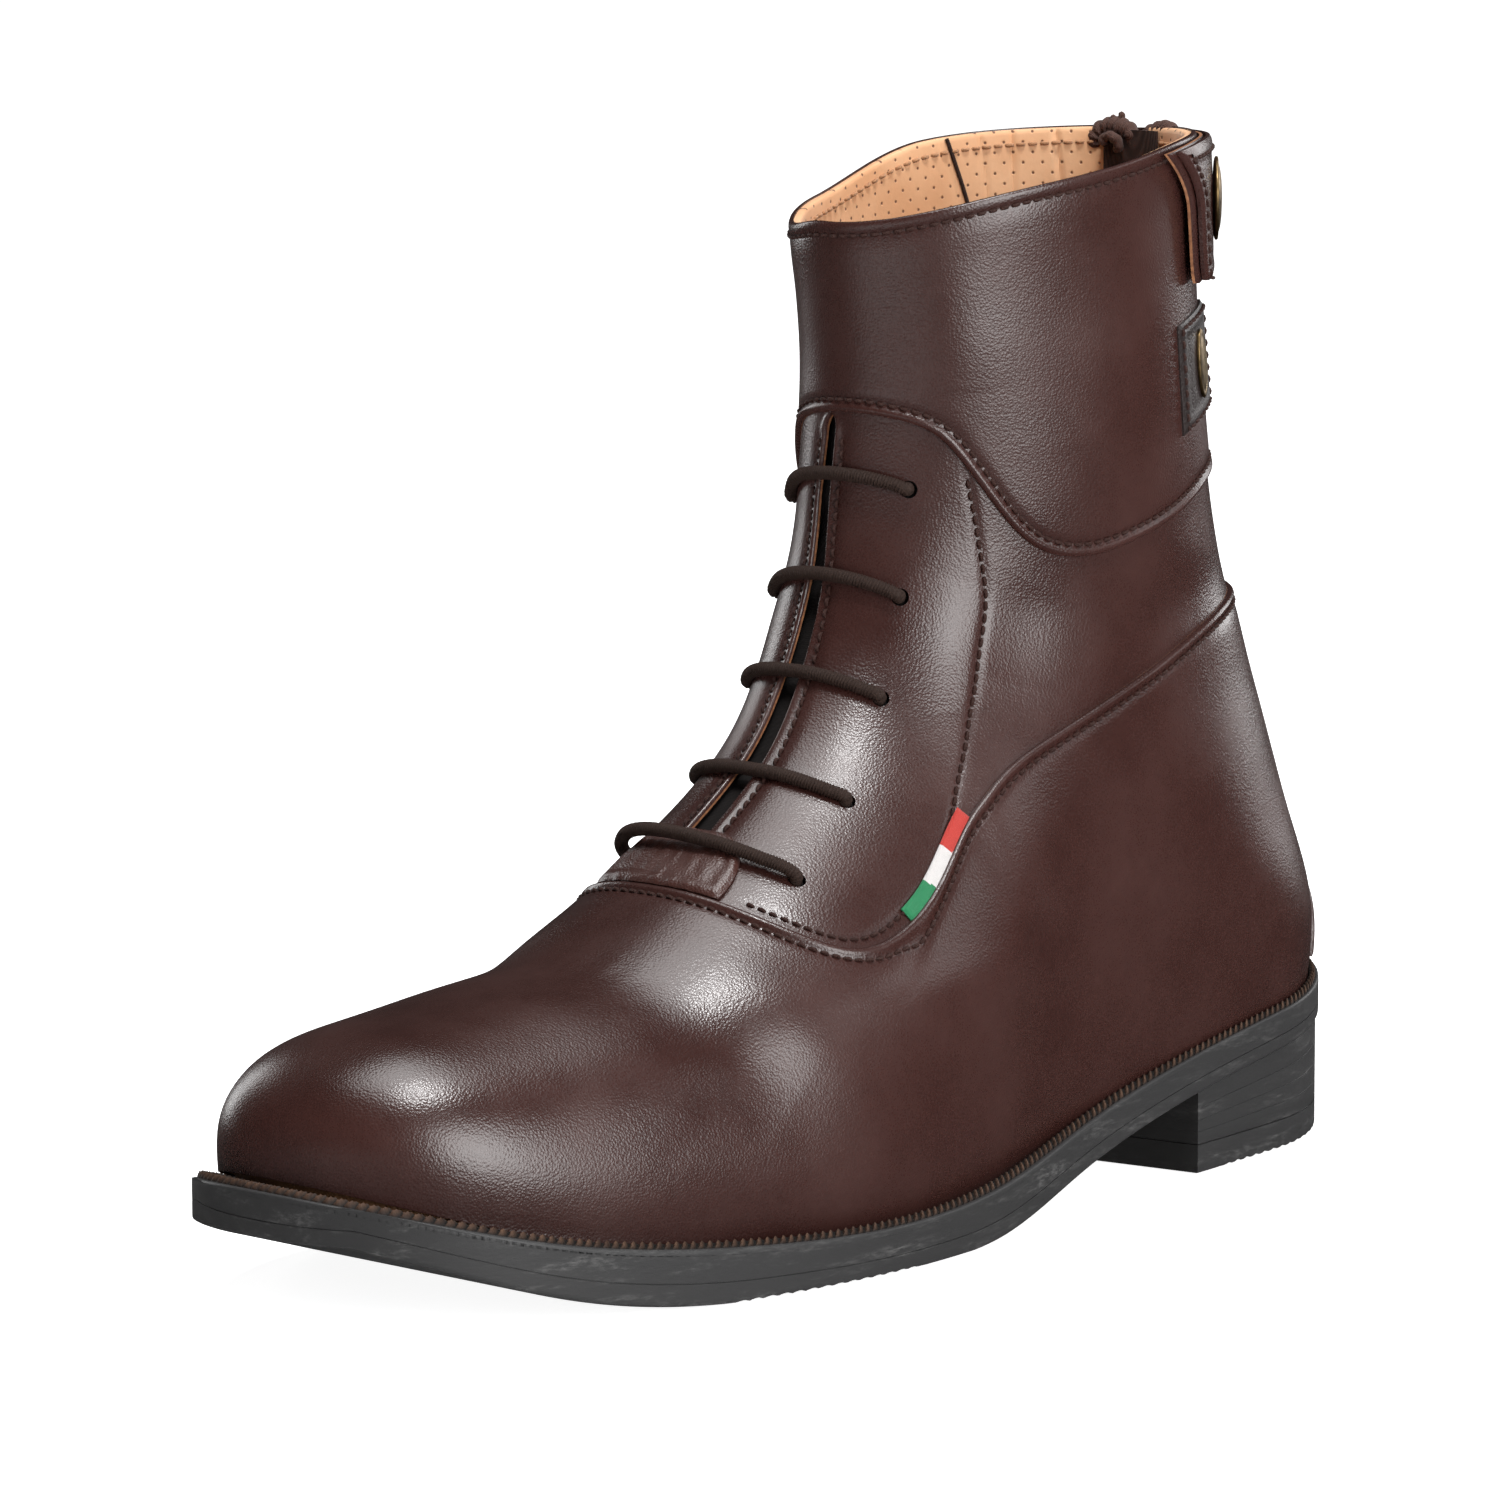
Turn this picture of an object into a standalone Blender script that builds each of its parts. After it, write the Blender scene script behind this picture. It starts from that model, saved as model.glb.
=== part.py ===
"""Lace-up ankle boot for riding, left foot: leather upper on a welted rubber sole with a low heel.

The origin is the middle of the heel's ground face. The toe points along -Y, the outer (lateral) side
is +X and +Z is up. Sizes are in millimetres and become metres where meshes are made.
"""
import math

import bmesh
import bpy
import numpy as np
from mathutils import Matrix, Vector

OBJECT_NAME = "lace_up_ankle_boot"
MM = 0.001

# Clearance between neighbouring pieces
GAP = 0.3

# Upper wall: the lined middle panel, and the vamp and cuff laid over it
WALL_MIDDLE = 1.8
WALL_OVERLAY = 2.6
INSIDE_LIFT = -2.2
OVERLAY_LIFT = INSIDE_LIFT + WALL_OVERLAY
MIDDLE_LIFT = INSIDE_LIFT + WALL_MIDDLE
SEAM_STEP = 0.012

# Sole
WELT_HEIGHT = 2.5
WELT_INSET = 0.3
WELT_CHAMFER = 0.6
MARGIN_FOREFOOT = 5.4
MARGIN_HEEL = 2.6
MARGIN_BLEND = (-110.0, -20.0)
INSOLE_THICKNESS = 3.0
HEEL_LIFT_HEIGHT = 6.0
HEEL_INSET = 0.6
BREAST_CORNER = (35.5, -33.0)
BREAST_SLOPE = 0.18

# Throat, laces and zip
SLIT_ARC = -3.5
SLIT_RISES = (0.15, 0.975)
SLIT_HALF_WIDTHS = (3.2, 1.3)
HOLE_RADIUS = 2.5
LACE_RADIUS = 1.75
LACE_CLEARANCE = 0.6
LACE_END_DEPTH = 1.4
TONGUE_COLUMNS = (5, 6)
TONGUE_THICKNESS = 1.5
ZIP_SLOT_HALF_WIDTH = 3.6
ZIP_SLOT_FOOT = 0.33
CUTTER_DEPTH = 16.0
CHAIN_HALF_WIDTH = 2.9
CHAIN_THICKNESS = 2.4
TAPE_COLUMNS = 2
TAPE_THICKNESS = 0.9
ZIP_END_RISE = 0.045

# Small pieces on the outside
TAB_THICKNESS = 2.6
TAB_STAND_OFF = 0.9
CAP_RADIUS = 8.4
CAP_HEIGHT = 2.6
CAP_ARC = 25.5
CAP_RISE = 0.80
PATCH_THICKNESS = 0.8
PLATE_HEIGHT = 1.1
TRIM_THICKNESS = 0.7
STAY_THICKNESS = 1.5
TAG_SEAM_SHARES = (0.64, 0.80)
TAG_DISTANCES = (1.4, 6.4)
TAG_STAND_OFF = 0.9

# Resolution
RING_SPANS = 24
HEEL_POINTS = 14

# Stations along the foot. sole_top is the top of the welt, lateral and medial are half-widths of the
# upper from the centre line, crown is the depth over which the section rounds over to the ridge and
# fullness its squareness.
FOOT_COLUMNS = ("y", "sole_top", "sole_bottom", "lateral", "medial", "centre", "crown", "fullness")
FOOT_STATIONS = (
    (36.0, 34.5, 26.0, 31.0, 31.0, -3.6, 70.0, 2.1),
    (5.0, 31.0, 22.0, 32.0, 31.5, -0.5, 70.0, 2.1),
    (-35.0, 25.8, 16.5, 31.5, 30.0, 3.2, 72.0, 2.1),
    (-72.0, 18.0, 7.8, 32.0, 30.0, 3.6, 72.0, 2.1),
    (-105.0, 12.0, 0.7, 39.5, 37.0, 1.4, 66.0, 2.1),
    (-140.0, 10.2, 0.0, 45.6, 44.5, -2.5, 58.0, 2.2),
    (-176.0, 12.0, 0.0, 44.4, 45.5, -6.5, 50.0, 2.3),
    (-214.0, 17.6, 5.4, 41.0, 41.5, -12.0, 46.0, 2.4),
    (-247.0, 27.6, 17.3, 36.0, 35.0, -16.0, 44.0, 2.4),
)

# The ridge of toe, vamp, instep and shaft front, from the toe tip to the collar
FRONT_PROFILE = (
    (-246.5, 27.6),
    (-246.0, 34.5),
    (-242.0, 43.0),
    (-232.5, 49.8),
    (-215.0, 53.3),
    (-195.0, 55.6),
    (-172.0, 60.2),
    (-152.0, 70.0),
    (-135.0, 80.5),
    (-118.0, 92.0),
    (-105.0, 106.0),
    (-96.5, 121.0),
    (-92.0, 140.0),
    (-90.0, 160.0),
    (-90.0, 178.0),
    (-91.0, 195.0),
)

# Levels of heel and shaft: the back line, half-widths, how far the shaft leans inwards, and the depth
# over which the section tapers to the back line.
SHAFT_COLUMNS = ("z", "back", "lateral", "medial", "lean", "taper")
SHAFT_LEVELS = (
    (34.5, 32.5, 31.0, 31.0, 0.0, 36.0),
    (50.0, 32.8, 31.5, 31.0, 0.0, 42.0),
    (66.0, 27.9, 30.0, 29.5, 0.0, 54.0),
    (86.0, 21.1, 29.5, 29.0, -1.5, 60.0),
    (109.0, 13.8, 30.0, 29.5, -3.5, 58.0),
    (131.0, 8.0, 31.5, 31.0, -5.5, 52.0),
    (150.0, 4.7, 33.0, 32.5, -7.0, 48.0),
    (170.0, 2.8, 33.6, 33.5, -8.2, 47.0),
    (206.0, 3.5, 34.5, 34.0, -10.0, 47.0),
)
SHAFT_ROUND = 48.0

# The front line lies inwards of the centre on the instep and comes back up the shaft, and the side view
# is carried on steeply past its top. The inner side of the instep is fuller than the outer one, and the
# rim dips at its inner front.
RIDGE_SHIFT = -4.5
RIDGE_RANGE = (35.0, 95.0)
RIDGE_RETURN = 0.75
RETURN_RANGE = (130.0, 172.0)
MEDIAL_FULLNESS = 0.85
MEDIAL_RANGES = ((52.0, 90.0), (100.0, 138.0))
RIM_DIP = 4.0
RIM_DIP_RANGES = ((176.0, 194.0), (4.0, 24.0), (28.0, 62.0))
RIDGE_CLIMB = 10.0

# How the lean, the foot and the shaft blend into one another
RIM_TILT = 0.06
RIM_TILT_RANGE = (95.0, 190.0)
WIDTH_BLEND = (45.0, 120.0)
CROWN_BLEND = (80.0, 140.0)
UPRIGHT_BLEND = (108.0, 150.0)
END_PULL = 4
TUCK = 0.05
TUCK_HEIGHT = 16.0
HEEL_SEAT_Z = 34.5

# Lines round the upper in the side view (y, z), from the back to the front
VAMP_SEAM = (
    (14.0, 113.0), (-5.0, 111.5), (-20.0, 108.5), (-46.0, 101.0), (-67.0, 94.0), (-85.0, 87.0),
    (-98.0, 78.0), (-110.0, 68.5), (-122.0, 62.5), (-134.0, 61.0), (-142.0, 64.5), (-150.0, 71.0),
)
CUFF_SEAM = (
    (6.5, 139.5), (-14.0, 136.0), (-28.0, 132.0), (-44.0, 128.5), (-57.0, 127.0), (-66.0, 129.5),
    (-73.5, 137.5), (-79.5, 147.5), (-84.0, 153.5), (-90.2, 157.0),
)
COLLAR_LINE = ((3.5, 205.5), (-25.0, 205.0), (-50.0, 202.0), (-72.0, 199.0), (-90.8, 194.5))

# Bands of the upper between those lines, and the rings of each band by their rise in it
VAMP, MIDDLE, CUFF = 0, 1, 2
BAND_RISES = {
    VAMP: (0.0, 0.05, 0.14, 0.25, 0.37, 0.5, 0.63, 0.76, 0.88, 1.0),
    MIDDLE: (SEAM_STEP, 0.14, 0.28, 0.42, 0.56, 0.7, 0.85, 1 - SEAM_STEP),
    CUFF: (0.0, 0.14, 0.32, 0.5, 0.68, 0.85, 1.0),
}

# Lace bars from the top down: rise in the middle panel and the arc of the lateral hole
LACE_COLUMNS = ("rise", "lateral_arc")
LACE_BARS = ((0.89, 15.5), (0.71, 16.0), (0.525, 16.5), (0.31, 19.0), (0.11, 22.0))

# The outsole's side from its bottom edge to its top: share of the height and inset
OUTSOLE_SIDE = (
    (0.0, 0.8), (0.08, 0.1), (0.42, 0.0), (0.45, 0.6), (0.49, 0.6), (0.52, 0.0), (0.95, 0.0), (1.0, 0.4),
)
HEEL_SIDE = ((0.0, 0.5), (0.06, 0.0), (0.94, 0.0), (1.0, 0.5))
LIFT_SIDE = ((0.0, 0.9), (0.16, 0.0), (0.9, 0.0), (1.0, 0.5))

# Material name: colour, roughness, metallic
MATERIALS = {
    "brown_leather": ((0.052, 0.023, 0.017), 0.38, 0.0),
    "lining_leather": ((0.42, 0.20, 0.08), 0.7, 0.0),
    "black_rubber": ((0.018, 0.018, 0.019), 0.55, 0.0),
    "welt_rubber": ((0.040, 0.026, 0.018), 0.6, 0.0),
    "elastic_cord": ((0.030, 0.016, 0.012), 0.75, 0.0),
    "zip_tape": ((0.028, 0.015, 0.012), 0.85, 0.0),
    "zip_teeth": ((0.035, 0.020, 0.015), 0.5, 0.0),
    "antique_brass": ((0.30, 0.21, 0.10), 0.35, 1.0),
    "woven_ribbon": ((0.60, 0.58, 0.54), 0.8, 0.0),
}


def column(rows, names, name):
    return np.array([row[names.index(name)] for row in rows], float)


def natural_spline(xs, ys):
    """Cubic spline through points in rising order of x, held level beyond both ends."""
    xs, ys = np.asarray(xs, float), np.asarray(ys, float)
    count = len(xs)
    width = np.diff(xs)
    rows = np.eye(count)
    bends = np.zeros(count)
    for i in range(1, count - 1):
        rows[i, i - 1:i + 2] = width[i - 1], 2 * (width[i - 1] + width[i]), width[i]
        bends[i] = 6 * ((ys[i + 1] - ys[i]) / width[i] - (ys[i] - ys[i - 1]) / width[i - 1])
    bends = np.linalg.solve(rows, bends)

    def value(x):
        x = np.clip(np.asarray(x, float), xs[0], xs[-1])
        i = np.clip(np.searchsorted(xs, x) - 1, 0, count - 2)
        left, right, span = xs[i + 1] - x, x - xs[i], width[i]
        curve = (bends[i] * left**3 + bends[i + 1] * right**3) / (6 * span)
        low = (ys[i] / span - bends[i] * span / 6) * left
        high = (ys[i + 1] / span - bends[i + 1] * span / 6) * right
        return curve + low + high

    return value


def smooth_path(points):
    """A line through the points, as a function of the share of its length."""
    points = np.asarray(points, float)
    steps = np.linalg.norm(np.diff(points, axis=0), axis=1)
    share = np.concatenate([[0.0], np.cumsum(steps)]) / steps.sum()
    curves = [natural_spline(share, points[:, i]) for i in range(points.shape[1])]
    return lambda along: np.stack([curve(along) for curve in curves], -1)


def smoothstep(x, limits):
    t = np.clip((np.asarray(x, float) - limits[0]) / (limits[1] - limits[0]), 0.0, 1.0)
    return t * t * (3 - 2 * t)


def rounding(depth, fullness):
    """Squared share of the half-width at a depth from an edge, a quarter of a superellipse."""
    inside = 1 - np.clip(1 - depth, 0, None) ** fullness
    return np.sign(inside) * np.abs(inside) ** (2 / fullness)


class Last:
    """The outside of the upper, as half-widths over its side view."""

    def __init__(self):
        foot = {name: natural_spline(column(FOOT_STATIONS, FOOT_COLUMNS, "y")[::-1],
                                     column(FOOT_STATIONS, FOOT_COLUMNS, name)[::-1])
                for name in FOOT_COLUMNS[1:]}
        shaft = {name: natural_spline(column(SHAFT_LEVELS, SHAFT_COLUMNS, "z"),
                                      column(SHAFT_LEVELS, SHAFT_COLUMNS, name))
                 for name in SHAFT_COLUMNS[1:]}
        self.sole_top = foot["sole_top"]
        self.sole_bottom = lambda y: np.maximum(foot["sole_bottom"](y), 0.0)
        self.foot_centre, self.crown, self.fullness = foot["centre"], foot["crown"], foot["fullness"]
        self.back, self.lean, self.taper = shaft["back"], shaft["lean"], shaft["taper"]
        self.foot_width = {1: foot["lateral"], -1: foot["medial"]}
        self.shaft_width = {1: shaft["lateral"], -1: shaft["medial"]}
        self.ridge = smooth_path(FRONT_PROFILE)(np.linspace(0, 1, 1500))
        steps = np.linalg.norm(np.diff(self.ridge, axis=0), axis=1)
        self.ridge_length = np.concatenate([[0.0], np.cumsum(steps)])

    def ridge_at(self, length):
        return np.stack([np.interp(length, self.ridge_length, self.ridge[:, i]) for i in (0, 1)], -1)

    def ridge_depth(self, y, z):
        """Distance inside the ridge line, measured square to it on the foot and level on the shaft."""
        along = y - np.interp(z, self.ridge[:, 1], self.ridge[:, 0])
        low = self.ridge[:, 1] < UPRIGHT_BLEND[1]
        rising = np.maximum.accumulate(self.ridge[low, 0])
        beyond = RIDGE_CLIMB * np.clip(y - rising[-1], 0, None)
        down = np.interp(y, rising, self.ridge[low, 1]) + beyond - z
        upright = smoothstep(z, UPRIGHT_BLEND)
        size = np.abs(along * down) / np.sqrt(down**2 + (1 - upright) * along**2 + 1e-9)
        inside = np.where(upright < 1, np.minimum(along, down), along)
        return np.where(inside > 0, size, -size)

    def width_squared(self, side, y, z):
        rise = smoothstep(z, WIDTH_BLEND)
        base = (1 - rise) * self.foot_width[side](y) + rise * self.shaft_width[side](z)
        upright = smoothstep(z, CROWN_BLEND)
        crown = (1 - upright) * self.crown(y) + upright * SHAFT_ROUND
        fullness = (1 - upright) * self.fullness(y) + upright * 2.0
        if side < 0:
            swell = smoothstep(z, MEDIAL_RANGES[0]) - smoothstep(z, MEDIAL_RANGES[1])
            fullness = fullness + MEDIAL_FULLNESS * swell
        front = rounding(self.ridge_depth(y, z) / crown, fullness)
        back = rounding((self.back(z) - y) / self.taper(z), 2.0)
        height = np.clip((z - self.sole_top(y)) / TUCK_HEIGHT, 0, 1)
        return (base * (1 - TUCK * (1 - height) ** 2)) ** 2 * front * back

    def centre(self, y, z):
        rise = smoothstep(z, WIDTH_BLEND)
        shift = RIDGE_SHIFT * (1 - RIDGE_RETURN * smoothstep(z, RETURN_RANGE))
        shaft = self.lean(z) + shift * smoothstep(-np.asarray(y), RIDGE_RANGE)
        return (1 - rise) * self.foot_centre(y) + rise * shaft

    def point(self, side, y, z):
        width = np.sqrt(np.maximum(self.width_squared(side, y, z), 0))
        return np.stack([self.centre(y, z) + side * width, y, z], -1)

    def level(self, side, p):
        x, y, z = p[..., 0], p[..., 1], p[..., 2]
        return (x - self.centre(y, z)) ** 2 - self.width_squared(side, y, z)

    def normal(self, side, p, step=0.05):
        slopes = [self.level(side, p + d) - self.level(side, p - d) for d in np.eye(3) * step]
        slopes = np.stack(slopes, -1)
        return slopes / np.linalg.norm(slopes, axis=-1, keepdims=True)

    def settle(self, points):
        """The shaft leans inwards, so its rim stands a little higher on the outer side."""
        points = np.array(points, float)
        y, z = points[..., 1], points[..., 2]
        lever = points[..., 0] - self.centre(y, z)
        medial = smoothstep(-lever, RIM_DIP_RANGES[1]) * smoothstep(-y, RIM_DIP_RANGES[2])
        dip = RIM_DIP * smoothstep(z, RIM_DIP_RANGES[0]) * medial
        points[..., 2] += RIM_TILT * smoothstep(z, RIM_TILT_RANGE) * lever - dip
        return points


class Skin:
    """Places on the upper by band, by rise in the band, and by arc from the front or back line."""

    def __init__(self, last):
        self.last = last
        ys = np.linspace(last.back(HEEL_SEAT_Z), FRONT_PROFILE[0][0], 40)
        feather = np.stack([ys, last.sole_top(ys) - WELT_HEIGHT + 1.4 * GAP], -1)
        self.lines = [smooth_path(line) for line in (feather, VAMP_SEAM, CUFF_SEAM, COLLAR_LINE)]
        self.backs = [line(0.0)[1] for line in self.lines]
        self.fronts = [np.interp(line(1.0)[1], last.ridge[:, 1], last.ridge_length) for line in self.lines]

    def side_view(self, band, rise, along):
        """Point (y, z) between two lines, with its ends led along the back and front lines."""
        rise, along = np.broadcast_arrays(np.asarray(rise, float), np.asarray(along, float))
        low, high = self.lines[band], self.lines[band + 1]
        r, a = rise[..., None], along[..., None]
        z_back = (1 - rise) * self.backs[band] + rise * self.backs[band + 1]
        back = np.stack([self.last.back(z_back), z_back], -1)
        front = self.last.ridge_at((1 - rise) * self.fronts[band] + rise * self.fronts[band + 1])
        back_shift = back - ((1 - r) * low(0.0) + r * high(0.0))
        front_shift = front - ((1 - r) * low(1.0) + r * high(1.0))
        middle = (1 - r) * low(along) + r * high(along)
        return middle + (1 - a) ** END_PULL * back_shift + a**END_PULL * front_shift

    def half_ring(self, side, band, rise, along):
        yz = self.side_view(band, rise, along)
        points = self.last.point(side, yz[..., 0], yz[..., 1])
        return points, self.last.normal(side, points)

    def place(self, band, rise, arcs, at_front, lift=0.0):
        """Points on a ring at arcs from its front or back line, lateral positive, and their normals."""
        share = np.linspace(1, 0, 120)
        along = 1 - 0.6 * share**2 if at_front else 0.6 * share**2
        inner, inner_normals = self.half_ring(-1, band, rise, along)
        outer, outer_normals = self.half_ring(1, band, rise, along[::-1])
        points = np.concatenate([inner, outer[1:]])
        normals = np.concatenate([inner_normals, outer_normals[1:]])
        steps = np.linalg.norm(np.diff(points, axis=0), axis=1)
        arc = np.concatenate([[0.0], np.cumsum(steps)]) - steps[:len(inner) - 1].sum()
        normal = np.stack([np.interp(arcs, arc, normals[:, i]) for i in range(3)], -1)
        normal /= np.linalg.norm(normal, axis=-1, keepdims=True)
        point = np.stack([np.interp(arcs, arc, points[:, i]) for i in range(3)], -1)
        return self.last.settle(point + normal * lift), normal

    def patch(self, rows, at_front, lift):
        """Grid of points on the upper from rows of (band, rise, arcs), and a normal for each."""
        placed = [self.place(band, rise, arcs, at_front, lift) for band, rise, arcs in rows]
        return np.array([p for p, _ in placed]), np.array([n for _, n in placed])


LAST = Last()
SKIN = Skin(LAST)
ALONG = (1 - np.cos(np.linspace(0, math.pi, RING_SPANS + 1))) / 2


def new_collection(name):
    collection = bpy.data.collections.new(name)
    bpy.context.scene.collection.children.link(collection)
    return collection


def new_material(node, name):
    colour, roughness, metallic = MATERIALS[name]
    material = bpy.data.materials.new(f"{node}_{name}")
    material.use_nodes = True
    shader = material.node_tree.nodes["Principled BSDF"]
    shader.inputs["Base Color"].default_value = (*colour, 1.0)
    shader.inputs["Roughness"].default_value = roughness
    shader.inputs["Metallic"].default_value = metallic
    return material


def add_object(name, mesh, material):
    obj = bpy.data.objects.new(name, mesh)
    PARTS.objects.link(obj)
    obj.parent = ROOT
    mesh.materials.append(new_material(name, material))
    mesh.shade_smooth()
    mesh.set_sharp_from_angle(angle=math.radians(40))
    return obj


def add_cutter(name, mesh):
    obj = bpy.data.objects.new(name, mesh)
    CUTTERS.objects.link(obj)
    obj.hide_render = True
    obj.display_type = "WIRE"
    return obj


def cut(obj, cutter):
    boolean = obj.modifiers.new(cutter.name, "BOOLEAN")
    boolean.object = cutter
    boolean.operation = "DIFFERENCE"
    boolean.solver = "EXACT"


def grid_mesh(name, points, normals=None, closed=False):
    """Open surface through rows of points, facing the way of the normals."""
    rows, columns = points.shape[:2]
    spans = columns if closed else columns - 1
    faces = []
    for r in range(rows - 1):
        for c in range(spans):
            after = (c + 1) % columns
            faces.append((r * columns + c, r * columns + after, (r + 1) * columns + after, (r + 1) * columns + c))
    if normals is not None:
        across = points[:-1, 1:] - points[:-1, :-1]
        up = points[1:, :-1] - points[:-1, :-1]
        if (np.cross(across, up) * normals[:-1, :-1]).sum() < 0:
            faces = [face[::-1] for face in faces]
    mesh = bpy.data.meshes.new(name)
    mesh.from_pydata((points.reshape(-1, 3) * MM).tolist(), [], faces)
    return mesh


def add_solidify(obj, thickness, offset=1.0):
    solidify = obj.modifiers.new("wall", "SOLIDIFY")
    solidify.thickness = thickness * MM
    solidify.offset = offset
    return solidify


def add_sheet(name, rows, at_front, lift, thickness, material):
    """A leather or cloth piece that follows the upper at a distance from it."""
    obj = add_object(name, grid_mesh(name, *SKIN.patch(rows, at_front, lift)), material)
    add_solidify(obj, thickness)
    return obj


def rails(offset):
    """Lateral and medial edges of the foot's plan from heel to toe, moved out from the upper."""
    y = LAST.back(HEEL_SEAT_Z) + (FRONT_PROFILE[0][0] - LAST.back(HEEL_SEAT_Z)) * ALONG
    lateral = LAST.point(1, y, LAST.sole_top(y))[:, :2]
    medial = LAST.point(-1, y, LAST.sole_top(y))[:, :2]
    loop = np.concatenate([lateral, medial[::-1][1:-1]])
    tangent = np.roll(loop, -1, 0) - np.roll(loop, 1, 0)
    tangent /= np.linalg.norm(tangent, axis=1, keepdims=True)
    outward = np.stack([-tangent[:, 1], tangent[:, 0]], -1)
    loop = loop + outward * np.broadcast_to(offset(loop[:, 1]), len(loop))[:, None]
    return loop[:RING_SPANS + 1], np.concatenate([loop[:1], loop[:RING_SPANS - 1:-1]])


def sole_margin(inset=0.0):
    return lambda y: MARGIN_FOREFOOT + (MARGIN_HEEL - MARGIN_FOREFOOT) * smoothstep(y, MARGIN_BLEND) - inset


def with_height(edges, height):
    return [np.column_stack([edge, height(edge[:, 1])]) for edge in edges]


def loft(name, levels):
    """Closed solid through levels from bottom to top, each a pair of edges from heel to toe."""
    count = len(levels[0][0])
    loops = [np.concatenate([lateral, medial[::-1]]) for lateral, medial in levels]
    size = 2 * count
    faces = []
    for k in range(len(loops) - 1):
        for i in range(size):
            after = (i + 1) % size
            faces.append((k * size + i, (k + 1) * size + i, (k + 1) * size + after, k * size + after))
    top = (len(loops) - 1) * size
    for i in range(count - 1):
        across = (i, i + 1, size - 2 - i, size - 1 - i)
        faces.append(across)
        faces.append(tuple(top + v for v in across[::-1]))
    mesh = bpy.data.meshes.new(name)
    mesh.from_pydata((np.concatenate(loops) * MM).tolist(), [], faces)
    return welded(mesh)


def welded(mesh):
    work = bmesh.new()
    work.from_mesh(mesh)
    bmesh.ops.remove_doubles(work, verts=work.verts, dist=0.002 * MM)
    bmesh.ops.recalc_face_normals(work, faces=work.faces)
    bmesh.ops.triangulate(work, faces=work.faces)
    work.to_mesh(mesh)
    work.free()
    return mesh


def outsole_top(y):
    return LAST.sole_top(y) - WELT_HEIGHT


def welt_edge(y):
    return np.full_like(y, OVERLAY_LIFT + 1.5 * GAP)


def insole_edge(y):
    return np.full_like(y, INSIDE_LIFT - 2 * GAP)


def make_outsole():
    levels = []
    for share, inset in OUTSOLE_SIDE:
        def height(y, share=share):
            return (1 - share) * LAST.sole_bottom(y) + share * outsole_top(y)
        levels.append(with_height(rails(sole_margin(inset)), height))
    levels += [with_height(rails(edge), outsole_top) for edge in (welt_edge, insole_edge)]
    add_object("outsole", loft("outsole", levels), "black_rubber")


def heel_edges(inset):
    """The heel's two edges from its back to the breast, both with the same number of points."""
    edges = []
    for edge in rails(sole_margin(HEEL_INSET + inset)):
        ahead = edge[:, 1] - BREAST_CORNER[1] - BREAST_SLOPE * (edge[:, 0] - BREAST_CORNER[0])
        last = np.argmax(ahead < 0)
        share = ahead[last - 1] / (ahead[last - 1] - ahead[last])
        corner = edge[last - 1] + share * (edge[last] - edge[last - 1])
        edges.append(smooth_path(np.vstack([edge[:last], corner]))(np.linspace(0, 1, HEEL_POINTS)))
    return edges


def make_heel():
    foot = HEEL_LIFT_HEIGHT + GAP
    levels = []
    for share, inset in HEEL_SIDE:
        def height(y, share=share):
            return (1 - share) * foot + share * (LAST.sole_bottom(y) - GAP)
        levels.append(with_height(heel_edges(inset), height))
    add_object("heel", loft("heel", levels), "black_rubber")
    levels = []
    for share, inset in LIFT_SIDE:
        def height(y, share=share):
            return np.full_like(y, share * HEEL_LIFT_HEIGHT)
        levels.append(with_height(heel_edges(inset), height))
    add_object("heel_lift", loft("heel_lift", levels), "black_rubber")


def make_welt():
    """The rand round the upper, a closed ring on the outsole."""
    section = (
        (welt_edge, lambda y: outsole_top(y) + GAP),
        (sole_margin(WELT_INSET), lambda y: outsole_top(y) + GAP),
        (sole_margin(WELT_INSET), lambda y: LAST.sole_top(y) - WELT_CHAMFER),
        (sole_margin(WELT_INSET + WELT_CHAMFER), LAST.sole_top),
        (welt_edge, LAST.sole_top),
    )
    loops = []
    for offset, height in section:
        lateral, medial = with_height(rails(offset), height)
        loops.append(np.concatenate([lateral, medial[::-1][1:-1]]))
    loops.append(loops[0])
    mesh = welded(grid_mesh("welt", np.array(loops), closed=True))
    add_object("welt", mesh, "welt_rubber")


def make_insole():
    levels = [with_height(rails(insole_edge), lambda y, rise=rise: outsole_top(y) + rise)
              for rise in (GAP, GAP + INSOLE_THICKNESS)]
    add_object("insole", loft("insole", levels), "lining_leather")


def ring(band, rise, lift):
    """A whole ring of the upper, from the back round the outer side, the front and the inner side."""
    outer, outer_normals = SKIN.half_ring(1, band, rise, ALONG)
    inner, inner_normals = SKIN.half_ring(-1, band, rise, ALONG[::-1])
    points = np.concatenate([outer, inner[1:-1]])
    normals = np.concatenate([outer_normals, inner_normals[1:-1]])
    return LAST.settle(points + normals * lift), normals


def add_lining_sheet(name, rows, columns, lift, thickness, material):
    """A piece that lies along the inside of the upper, on the same rings and columns."""
    rings = [ring(band, rise, lift) for band, rise in rows]
    points = np.array([p.take(columns, axis=0, mode="wrap") for p, _ in rings])
    normals = np.array([n.take(columns, axis=0, mode="wrap") for _, n in rings])
    obj = add_object(name, grid_mesh(name, points, normals), material)
    add_solidify(obj, thickness)
    return obj


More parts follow.
